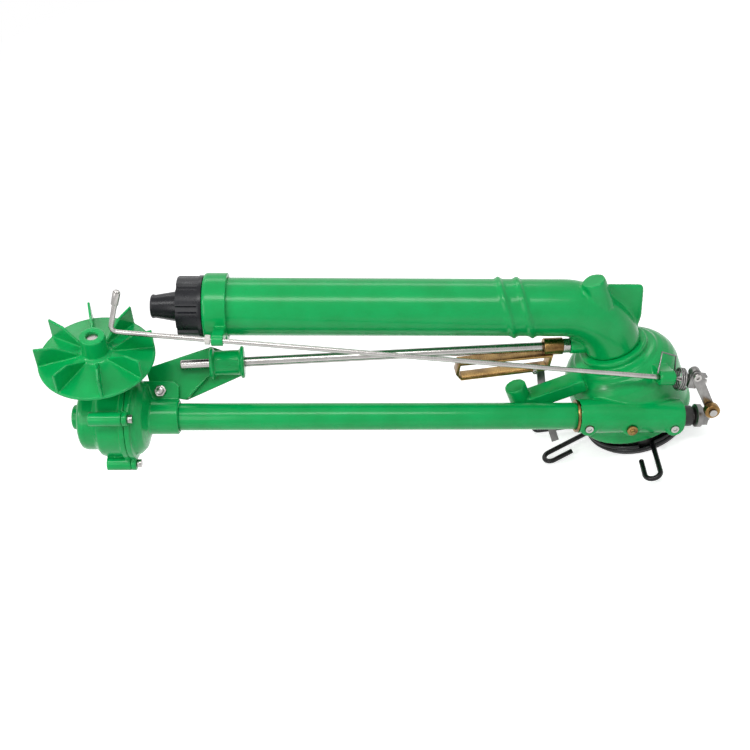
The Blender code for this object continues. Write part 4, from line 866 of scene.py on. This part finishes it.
def make_gearbox_cover():
    """The domed cover with the drive tube's sleeve and the bracket's ear."""
    wide = CASE_RADIUS
    sleeve = SLEEVE_RADIUS
    outline = raised(JOINT_PLACE, [
        (0, 0), (FLANGE_RADIUS, 0), (FLANGE_RADIUS, -FLANGE_THICK), (wide - 1, -FLANGE_THICK - 1),
        (wide - 3, -12), (wide - 9, -18), (sleeve + 4, -22), (sleeve, -24),
    ])
    outline += raised(SLEEVE_START, [(sleeve, 1.5), (sleeve - 1.5, 0), (0, 0)])
    cover = turned("gearbox_cover", outline, DRIVE, HEAD)
    for lug in LUGS:
        stud(cover, LUG_RADIUS, JOINT_PLACE - FLANGE_THICK, JOINT_PLACE, lug)
    left = SLEEVE_START + 2
    ear = [
        (left, EAR_FOOT), (EAR_FRONT, EAR_FOOT), (EAR_FRONT, EAR_TOP - 2), (EAR_FRONT - 2, EAR_TOP),
        (left + 6, EAR_TOP), (left, EAR_TOP - 6),
    ]
    join(cover, plate("cover_ear", ear, EAR_LOW, EAR_HIGH, BRACKET))
    high = JOINT_PLACE + 5
    drill(cover, TUBE_RADIUS + GAP, SLEEVE_START - 5, TUBE_END + 1, DRIVE, FINE)
    drill(cover, 9.3, 550, high, DRIVE)
    drill(cover, CASE_RADIUS - 9, JOINT_PLACE - 9, high, DRIVE, FINE)
    drill(cover, BRACKET_BOLT + GAP, -5, 12, BRACKET_HOLE)
    for lug in LUGS:
        drill(cover, LUG_BOLT + GAP, JOINT_PLACE - 15, high, lug)


def make_cover_bolts():
    """The bolts that hold the cover to the case, one in each lug."""
    head = JOINT_PLACE - FLANGE_THICK - GAP
    for k, lug in enumerate(LUGS, 1):
        bolt = rod(f"cover_bolt_{k}", LUG_BOLT, head - 1, JOINT_PLACE + 5, lug, HEAD)
        stud(bolt, LUG_BOLT_HEAD, head - 5.5, head, lug)


def make_bracket():
    """The triangular arm whose bush carries the rock shaft's front end."""
    rear = BUSH_PLACE - BUSH_LENGTH / 2
    front = BUSH_PLACE + BUSH_LENGTH / 2
    bead = [(0, 0), (BUSH_BEAD - 1.5, 0), (BUSH_BEAD, -1.5), (BUSH_BEAD, -4), (BUSH_RADIUS, -6)]
    bush = raised(front, bead) + raised(rear, [(radius, -height) for radius, height in reversed(bead)])
    bracket = turned("arm_bracket", bush, ROCK, HEAD)
    span = (gun(*BUSH) - BRACKET.translation / MM).length
    reach = sqrt(max(span * span - BUSH_PLACE * BUSH_PLACE, 1))
    web = [
        (551, 0.6), (523, 0.6), (SLEEVE_START - 7, -1), (rear + 3, reach - 15), (rear + 3, reach + 8),
        (front - 1, reach + 21), (563, 38), (558, 18), (551, 6),
    ]
    rib = [(SLEEVE_START - 6, 1), (front + 1, reach - 16), (front - 3, reach - 12), (SLEEVE_START - 10, 1)]
    join(bracket, plate("bracket_web", web, WEB_LOW, WEB_HIGH, BRACKET))
    join(bracket, plate("bracket_rib", rib, -2, WEB_LOW + 1, BRACKET))
    drill(bracket, ROCK_RADIUS + GAP, BUSH_PLACE - 40, BUSH_PLACE + 40, ROCK)
    drill(bracket, BRACKET_BOLT + GAP, -10, 20, BRACKET_HOLE)


def make_bracket_bolt():
    """The bolt through the bracket and the ear."""
    head = WEB_HIGH + GAP
    bolt = rod("bracket_bolt", BRACKET_BOLT, -10, head + 1, BRACKET_HOLE, HEAD)
    join(bolt, hexagon("bracket_bolt_head", BRACKET_BOLT_HEX, head, head + 5.3, BRACKET_HOLE))


def make_bracket_nut():
    """The nut on the bracket's bolt."""
    nut = hexagon("bracket_nut", BRACKET_BOLT_HEX, -GAP - 6.5, -GAP, BRACKET_HOLE, HEAD)
    drill(nut, BRACKET_BOLT + GAP, -12, 2, BRACKET_HOLE)


def make_turbine():
    """The bladed wheel: a shallow cone, a tall hub and straight radial blades."""
    inner = TURBINE_SHAFT + GAP
    hub = HUB_RADIUS
    rim = TURBINE_RADIUS
    outline = [
        (inner, HUB_HEIGHT), (hub - 1, HUB_HEIGHT), (hub, HUB_HEIGHT - 1), (hub + 0.6, 10), (hub + 4, 7),
        (hub + 6, 6), (rim - 1, 0.5), (rim, -0.5), (rim, -3), (rim - 2, -3.5), (hub + 4, 1.5), (hub - 2, 0),
        (hub - 2, HUB_FOOT), (inner, HUB_FOOT),
    ]
    wheel = turned("turbine_wheel", outline, TURBINE, TURN)
    top = BLADE_HEIGHT
    blade = [(hub + 5, 4), (rim, -1.5), (rim - 0.5, top), (rim - 22, top - 2), (hub + 5, 8.5)]
    half = BLADE_THICK / 2
    for k in range(BLADE_COUNT):
        place = turned_by(TURBINE, 2 * pi * k / BLADE_COUNT + BLADE_TURN, "Z")
        join(wheel, plate(f"blade_{k}", blade, -half, half, turned_by(place, pi / 2, "X")))
    drill(wheel, HUB_SCREW + GAP, 2, 30, HUB_HOLE)


def make_hub_screw():
    """The screw that holds the wheel on its shaft."""
    rod("hub_screw", HUB_SCREW, TURBINE_SHAFT + GAP, HUB_RADIUS - 0.5, HUB_HOLE, TURN)


def make_rock_shaft():
    """The steel shaft under the barrel, with its nut near the elbow."""
    front = ROCK_FRONT[0]
    radius = ROCK_RADIUS
    outline = [(0, front), (radius - 1, front), (radius, front - 1), (radius, ROCK_START), (0, ROCK_START)]
    turned("rock_shaft", outline, ROCK, ROCKER, PLAIN)
    nut = hexagon("rock_shaft_nut", ROCK_NUT, 35, 43.5, ROCK, ROCKER)
    drill(nut, ROCK_RADIUS + GAP, 31, 48, ROCK)


def make_reversing_frame():
    """The bent brass strip round the shaft, with its sleeve and its screw."""
    inner = ROCK_RADIUS + GAP
    outline = [(inner, 68), (10, 68), (10.8, 67), (10.8, 44), (inner, 44)]
    sleeve = turned("reversing_frame", outline, ROCK, ROCKER)
    strip = FRAME_STRIP
    outside = [(56, -8), (176, -14), (179, -30), (172, -39), (60, -30)]
    inside = [
        (60, -8 - strip), (173.5, -14 - strip), (175.5, -29.5), (170.5, -39 + strip),
        (60 + strip, -30 + strip),
    ]
    half = FRAME_WIDTH / 2
    shell = plate("frame_outer", outside, -half, half, SIDE_VIEW)
    join(sleeve, cut(shell, plate("frame_inner", inside, -half - 1, half + 1, SIDE_VIEW)))
    drill(sleeve, inner, 30, 190, ROCK)
    place = turned_by(moved(SIDE_VIEW, *FRAME_SCREW_SPOT, 0), pi, "X")
    screw = hexagon("frame_screw", FRAME_SCREW, half + 0.1, half + 2.6, place, ROCKER)
    drill(screw, FRAME_SCREW / 2, half + 1.2, half + 3, place)


def make_trip_arm():
    """The bar that hangs from the frame down to the stop rings' hooks."""
    rear = gun(62, 0, ROCK_REAR[2] - 31.3)
    front = gun(72, 0, ROCK_REAR[2] - 32.1)
    half = TRIP_WIDTH / 2
    corners = (TRIP_KNEE, TRIP_FOOT)
    outline = [(front.x, front.z), *((x - half, z) for x, z in corners)]
    outline += [*((x + half, z) for x, z in reversed(corners)), (rear.x, rear.z)]
    place = placed(Vector((0, TRIP_PLACE, 0)), SIDE, Vector((1, 0, 0)))
    plate("trip_arm", outline, 0, TRIP_THICK, place, ROCKER)


def make_breaker_rod():
    """The long rod with its bent front end."""
    front = BREAKER_FRONT[0]
    corners = [(0, 0, BREAKER_TAIL), (0, 0, front), (BREAKER_TIP, 0, front - TIP_LEAN)]
    path = rounded(corners, BREAKER_BEND, 16)
    swept("breaker_rod", path, BREAKER_RADIUS, BREAKER, SWING, sides=8)


def make_rod_washer():
    """The pale washer on the rod, in front of the collar's lug."""
    high = WASHER_PLACE + WASHER_THICK
    ring("rod_washer", BREAKER_RADIUS + GAP, WASHER_RADIUS, WASHER_PLACE, high, BREAKER, SWING, PLAIN)


def make_breaker_tip():
    """The sleeve on the rod's raised end."""
    lean = pi / 2 + atan(TIP_LEAN / BREAKER_TIP)
    place = turned_by(moved(BREAKER, 0, 0, BREAKER_FRONT[0]), lean, "Y")
    ring("breaker_tip", BREAKER_RADIUS + GAP, TIP_RADIUS, BREAKER_TIP - 17, BREAKER_TIP - 1, place, SWING)


def make_torsion_spring():
    """The spring round the rod, with a leg over the dome's lug."""
    per_turn = 36
    turns = []
    for i in range(int(SPRING_TURNS * per_turn) + 1):
        angle = SPRING_START + 2 * pi * i / per_turn
        height = SPRING_PLACE - SPRING_PITCH * i / per_turn
        turns.append((SPRING_RADIUS * cos(angle), SPRING_RADIUS * sin(angle), height))
    x, y, _ = turns[0]
    leg = [
        (6.5, -2, SPRING_PLACE + 26), (26, 16, SPRING_PLACE + 21), (24, 13, SPRING_PLACE + 4),
        (x + 5, y + 0.5, SPRING_PLACE + 1),
    ]
    points = [Vector(p) for p in leg + turns]
    swept("torsion_spring", points, SPRING_WIRE, BREAKER, HEAD, sides=5)


def make_arm_clamp():
    """The clamp on the rod's rear end, with its block, eye and two tabs."""
    high = CLAMP_LOW + CLAMP_WIDTH
    clamp = rod("arm_clamp", CLAMP_RADIUS, CLAMP_LOW, high, BREAKER, SWING)
    join(clamp, block("clamp_block", (-4, CLAMP_FACE, CLAMP_LOW + 0.5), (ARM_RISE, -3, high - 0.5), BREAKER))
    stud(clamp, CLAMP_EYE, -9.5, 0, ARM)
    for k, rise in enumerate((-3.2, -8.4)):
        join(clamp, block(f"clamp_tab_{k}", (4, rise, -9.2), (15, rise + 2.2, -0.6), ARM))
    drill(clamp, BREAKER_RADIUS + GAP, CLAMP_LOW - 2, high + 2, BREAKER)
    drill(clamp, CLAMP_SCREW + GAP, -12, 3, ARM)


def make_roller_arm():
    """The flat arm from the clamp's screw to the roller's pin."""
    far_x, far_y = ARM_FAR
    turn = atan(far_y / far_x)
    length = sqrt(far_x ** 2 + far_y ** 2)
    end = (length * cos(turn), length * sin(turn))
    outline = arc((0, 0), 6.2, pi / 2 + turn, 3 * pi / 2 + turn, 6)
    outline += arc(end, 5.5, -pi / 2 + turn, pi / 2 + turn, 6)
    arm = plate("roller_arm", outline, GAP, GAP + ARM_THICK, ARM, SWING)
    drill(arm, CLAMP_SCREW + GAP, -3, 6, ARM)
    drill(arm, ROLLER_PIN + GAP, -3, 6, ROLLER)


def make_clamp_screw():
    """The socket screw that holds the arm to the clamp."""
    screw = rod("clamp_screw", CLAMP_SCREW, -8, 4, ARM, SWING)
    stud(screw, 4.6, ARM_THICK + 2 * GAP, 7.5, ARM)
    cut(screw, hexagon("clamp_screw_socket", 2.2, 5, 9, ARM))


def make_roller_pin():
    """The headed pin that the roller turns on."""
    top = ARM_THICK + 3 * GAP + ROLLER_WIDTH
    outline = raised(top, [(0, 2), (4.5, 2), (4.8, GAP), (ROLLER_PIN, GAP)])
    outline += [(ROLLER_PIN, 0), (5, 0), (5, -1.8), (0, -1.8)]
    turned("roller_pin", outline, ROLLER, SWING)


def make_roller():
    """The roller that follows the cam."""
    inner = ROLLER_PIN + GAP
    low = ARM_THICK + 2 * GAP
    high = low + ROLLER_WIDTH
    wide = ROLLER_RADIUS
    outline = [(inner, high), (wide - 1.5, high), (wide, high - 1.5)]
    outline += raised(low, [(wide, 1), (wide - 1, 0), (inner, 0)])
    turned("roller", outline, ROLLER, "roller")


def settle(piece):
    """Makes the piece's modifiers part of its mesh."""
    bpy.context.view_layer.update()
    mesh = bpy.data.meshes.new_from_object(piece.evaluated_get(bpy.context.evaluated_depsgraph_get()))
    piece.modifiers.clear()
    piece.data = mesh
    mesh.name = piece.name
    return mesh


def soften(piece, voxel):
    """Gives a casting round edges and fillets where its shapes meet."""
    skin = piece.modifiers.new("Skin", "REMESH")
    skin.mode = "VOXEL"
    skin.voxel_size = voxel * MM
    relax = piece.modifiers.new("Relax", "SMOOTH")
    relax.factor = 0.5
    relax.iterations = 4
    settle(piece).shade_smooth()


def round_edges(piece):
    """Breaks the sharp edges of a machined piece."""
    edge = piece.modifiers.new("Edge", "BEVEL")
    edge.width = EDGE * MM
    edge.segments = 2
    edge.limit_method = "ANGLE"
    edge.angle_limit = radians(32)
    mesh = settle(piece)
    mesh.shade_smooth()
    mesh.set_sharp_from_angle(angle=SHARP)


def weld(piece):
    """Fixes the piece's shape in the frame's axes."""
    mesh = settle(piece)
    mesh.transform(piece.matrix_basis)
    piece.matrix_basis = WORLD
    merge_doubles(mesh, 0.002)


def finish_pieces():
    """Fixes each shown piece's shape and puts it on its body in place of its CAD node."""
    slots = {row["node"]: row["material_slot"] for row in frame["record"]["subparts"]}
    for piece, _, _ in SHOWN:
        weld(piece)
    for shape in SHAPES:
        bpy.data.objects.remove(shape, do_unlink=True)
    for piece, node, rides in SHOWN:
        if node in CAST:
            soften(piece, CAST[node])
        else:
            round_edges(piece)
        slot = slots.get(node, "steel")
        dress(piece.data, slot)
        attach(piece, rides)
        if node in slots:
            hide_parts(node)
    for node in sorted(set(frame["nodes"]) - {row[1] for row in SHOWN}):
        dress(frame["nodes"][node].data, slots[node])


def dress(mesh, slot):
    """Gives a mesh the material of its slot, made when it is first asked for."""
    if slot not in SURFACES:
        SURFACES[slot] = MAKERS[slot]()
    mesh.materials.clear()
    mesh.materials.append(SURFACES[slot])


def fill(tree, node, inputs):
    """Sets a node's inputs, each to a value or linked from an output."""
    for key, value in inputs.items():
        if isinstance(value, bpy.types.NodeSocket):
            tree.links.new(value, node.inputs[key])
        else:
            node.inputs[key].default_value = value


def add_node(tree, kind, inputs, **settings):
    """A node with its inputs and settings."""
    node = tree.nodes.new("ShaderNode" + kind)
    for key, value in settings.items():
        setattr(node, key, value)
    fill(tree, node, inputs)
    return node


def new_material(name, roughness, metallic=0.0, specular=0.5):
    """A material, its node tree and its shader."""
    material = bpy.data.materials.new(name)
    material.use_nodes = True
    tree = material.node_tree
    shader = tree.nodes["Principled BSDF"]
    fill(tree, shader, {"Roughness": roughness, "Metallic": metallic, "Specular IOR Level": specular})
    return material, tree, shader


def noise(tree, scale, detail=3.0):
    """Noise in the piece's own coordinates, in features per metre."""
    place = add_node(tree, "TexCoord", {}).outputs["Object"]
    return add_node(tree, "TexNoise", {"Scale": scale, "Detail": detail, "Vector": place}).outputs["Fac"]


def marks_across(tree, scale):
    """Fine lines square to the gun's length, as a lathe or a drawing die leaves them."""
    place = add_node(tree, "TexCoord", {}).outputs["Object"]
    along = add_node(tree, "VectorMath", {0: place, 1: ALONG}, operation="DOT_PRODUCT").outputs["Value"]
    inputs = {"Scale": scale, "Detail": 2.0, "W": along}
    return add_node(tree, "TexNoise", inputs, noise_dimensions="1D").outputs["Fac"]


def ramp(tree, factor, low, high, edge=0.3):
    """The factor turned into colours, from low at the edge to high at one less the edge."""
    node = add_node(tree, "ValToRGB", {"Fac": factor})
    for stop, position, colour in zip(node.color_ramp.elements, (edge, 1 - edge), (low, high)):
        stop.position = position
        stop.color = (*colour, 1)
    return node.outputs["Color"]


def spread(tree, factor, low, high):
    """The factor carried from about its middle range to low..high."""
    inputs = {"From Min": 0.3, "From Max": 0.7, "To Min": low, "To Max": high, "Value": factor}
    return add_node(tree, "MapRange", inputs).outputs["Result"]


def bumps(tree, height, depth, strength=0.5):
    """A normal raised by the height, as deep as given in millimetres."""
    inputs = {"Distance": depth * MM, "Strength": strength, "Height": height}
    return add_node(tree, "Bump", inputs).outputs["Normal"]


def enamel():
    """Glossy green enamel over a casting, with a slight orange peel and shade."""
    material, tree, shader = new_material("green_enamel", 0.3, specular=0.04)
    fill(tree, shader, {
        "Base Color": ramp(tree, noise(tree, 28, 4), (0.001, 0.365, 0.082), (0.001, 0.425, 0.102), 0.35),
        "Roughness": spread(tree, noise(tree, 60, 2), 0.24, 0.36),
        "Coat Weight": 0.5,
        "Coat Roughness": 0.2,
        "Normal": bumps(tree, noise(tree, 260, 2), 0.16),
    })
    return material


def turned_metal(name, low, high, rough, marks, depth):
    """Metal with fine marks across the gun's length."""
    material, tree, shader = new_material(name, sum(rough) / 2, 1.0)
    lines = marks_across(tree, marks)
    fill(tree, shader, {
        "Base Color": ramp(tree, noise(tree, 45, 4), low, high),
        "Roughness": spread(tree, lines, *rough),
        "Normal": bumps(tree, lines, depth, 0.3),
    })
    return material


def stainless():
    low = (0.36, 0.345, 0.33)
    return turned_metal("bright_stainless", low, (0.47, 0.455, 0.44), (0.2, 0.28), 2500, 0.004)


def zinc():
    return turned_metal("dull_zinc", (0.13, 0.127, 0.124), (0.3, 0.292, 0.285), (0.26, 0.42), 1400, 0.01)


def brass():
    return turned_metal("turned_brass", (0.13, 0.07, 0.026), (0.44, 0.28, 0.1), (0.24, 0.38), 1600, 0.01)


def coated(name, dark, light, rough, grain, depth):
    """A coated or moulded surface with a fine grain."""
    material, tree, shader = new_material(name, sum(rough) / 2, specular=0.3)
    fill(tree, shader, {
        "Base Color": ramp(tree, noise(tree, 50), dark, light),
        "Roughness": spread(tree, noise(tree, 90), *rough),
        "Normal": bumps(tree, noise(tree, grain), depth),
    })
    return material


def wire_coat():
    return coated("black_coating", (0.002, 0.002, 0.003), (0.005, 0.005, 0.006), (0.2, 0.32), 600, 0.05)


def moulded():
    return coated("moulded_black", (0.005, 0.0055, 0.008), (0.009, 0.0095, 0.013), (0.24, 0.36), 900, 0.04)


def iron():
    return coated("dark_iron", (0.02, 0.02, 0.021), (0.05, 0.048, 0.046), (0.3, 0.5), 300, 0.15)


def rubber():
    return coated("black_rubber", (0.012, 0.012, 0.012), (0.02, 0.02, 0.02), (0.6, 0.8), 400, 0.1)


def pale():
    return coated("pale_washer", (0.62, 0.6, 0.56), (0.75, 0.73, 0.69), (0.35, 0.5), 700, 0.05)


MAKERS = {"green": enamel, "steel": stainless, "zinc": zinc, "brass": brass, "black_wire": wire_coat,
          "plastic": moulded, "iron": iron, "rubber": rubber, "white": pale}


def white_rays(tree):
    """One for camera, gloss and glass rays, and zero for the light that reaches the object."""
    path = add_node(tree, "LightPath", {})
    total = path.outputs["Is Camera Ray"]
    for kind in ("Is Glossy Ray", "Is Transmission Ray"):
        inputs = {0: total, 1: path.outputs[kind]}
        total = add_node(tree, "Math", inputs, operation="MAXIMUM").outputs["Value"]
    return total


def make_floor():
    """A pale floor that is seen as white and keeps the object's shadow."""
    build = bmesh.new()
    bmesh.ops.create_grid(build, x_segments=1, y_segments=1, size=FLOOR_HALF)
    floor = link_object("floor", mesh_from(build, "floor"))
    floor.location.z = FLOOR_DROP * MM
    material, tree, shader = new_material("pale_floor", 1.0, specular=0.0)
    lift = add_node(tree, "Math", {0: white_rays(tree), 1: FLOOR_LIFT}, operation="MULTIPLY")
    fill(tree, shader, {
        "Base Color": FLOOR_COLOUR,
        "Emission Color": WHITE,
        "Emission Strength": lift.outputs["Value"],
    })
    floor.data.materials.append(material)


def make_world():
    """A white surround that lights the object with a soft grey."""
    world = bpy.data.worlds.new("studio")
    bpy.context.scene.world = world
    world.use_nodes = True
    tree = world.node_tree
    ambient = tree.nodes["Background"]
    fill(tree, ambient, {"Color": AMBIENT_COLOUR, "Strength": AMBIENT})
    white = add_node(tree, "Background", {"Color": WHITE, "Strength": 1.0})
    inputs = {"Fac": white_rays(tree), 1: ambient.outputs["Background"], 2: white.outputs["Background"]}
    mix = add_node(tree, "MixShader", inputs)
    fill(tree, tree.nodes["World Output"], {"Surface": mix.outputs["Shader"]})


def add_lamp(name, kind, power):
    """A lamp of the kind, and its object."""
    light = bpy.data.lights.new(name, kind)
    light.energy = power
    return light, link_object(name, light)


def make_area(name, along, toward, distance, size, power):
    """A soft lamp that shines at a place on the barrel, with its length along the gun."""
    light, lamp = add_lamp(name, "AREA", power)
    light.shape = "RECTANGLE"
    light.size, light.size_y = size
    across = toward.cross(ALONG).normalized()
    turn = Matrix((across.cross(toward), across, toward)).transposed().to_4x4()
    turn.translation = gun(along, 0, 0) * MM + toward * distance
    lamp.matrix_world = turn


def make_lamps():
    """The distant key lamp, a strip above, a rim behind and a soft lamp in front."""
    light, lamp = add_lamp("key", "SUN", KEY_POWER)
    light.angle = KEY_SPREAD
    lamp.rotation_euler = Vector(KEY_DIRECTION).to_track_quat("-Z", "Y").to_euler()
    for name, height, power in (("strip", STRIP_HEIGHT, STRIP_POWER), ("rim", RIM_HEIGHT, RIM_POWER)):
        toward = cos(height) * SIDE + sin(height) * RISE
        make_area(name, STRIP_ALONG, toward, STRIP_DISTANCE, STRIP_SIZE, power)
    make_area("front", FRONT_ALONG, Vector(FRONT_TOWARD).normalized(), 1, FRONT_SIZE, FRONT_POWER)


def make_camera():
    """The photograph's view: square to the barrel, turned and raised by the two angles."""
    square = cos(CAMERA_HEIGHT) * SIDE + sin(CAMERA_HEIGHT) * RISE
    back = cos(CAMERA_TURN) * square + sin(CAMERA_TURN) * ALONG
    right = -cos(CAMERA_TURN) * ALONG + sin(CAMERA_TURN) * square
    up = cos(CAMERA_HEIGHT) * RISE - sin(CAMERA_HEIGHT) * SIDE
    spot = gun(CAMERA_AIM, 0, 0) + CAMERA_DISTANCE * back - CAMERA_DROP * up
    data = bpy.data.cameras.new("camera")
    data.lens = LENS
    data.sensor_width = SENSOR
    camera = link_object("camera", data)
    camera.matrix_world = from_axes(right, up, back, spot)
    bpy.context.scene.camera = camera


make_inlet_base()
make_stops()
make_dome()
make_tube_bush()
make_rear_bush()
make_socket_screw("front_socket_screw", BOSSES[0])
make_socket_screw("rear_socket_screw", BOSSES[2])
make_grease_plug()
make_barrel()
make_collar()
make_nozzle_nut()
make_nozzle()
make_drive_tube()
make_cam()
make_gearbox_case()
make_gearbox_cover()
make_cover_bolts()
make_bracket()
make_bracket_bolt()
make_bracket_nut()
make_turbine()
make_hub_screw()
make_rock_shaft()
make_reversing_frame()
make_trip_arm()
make_breaker_rod()
make_rod_washer()
make_breaker_tip()
make_torsion_spring()
make_arm_clamp()
make_roller_arm()
make_clamp_screw()
make_roller_pin()
make_roller()
finish_pieces()
make_floor()
make_world()
make_lamps()
make_camera()
bpy.context.scene.view_settings.view_transform = "Standard"
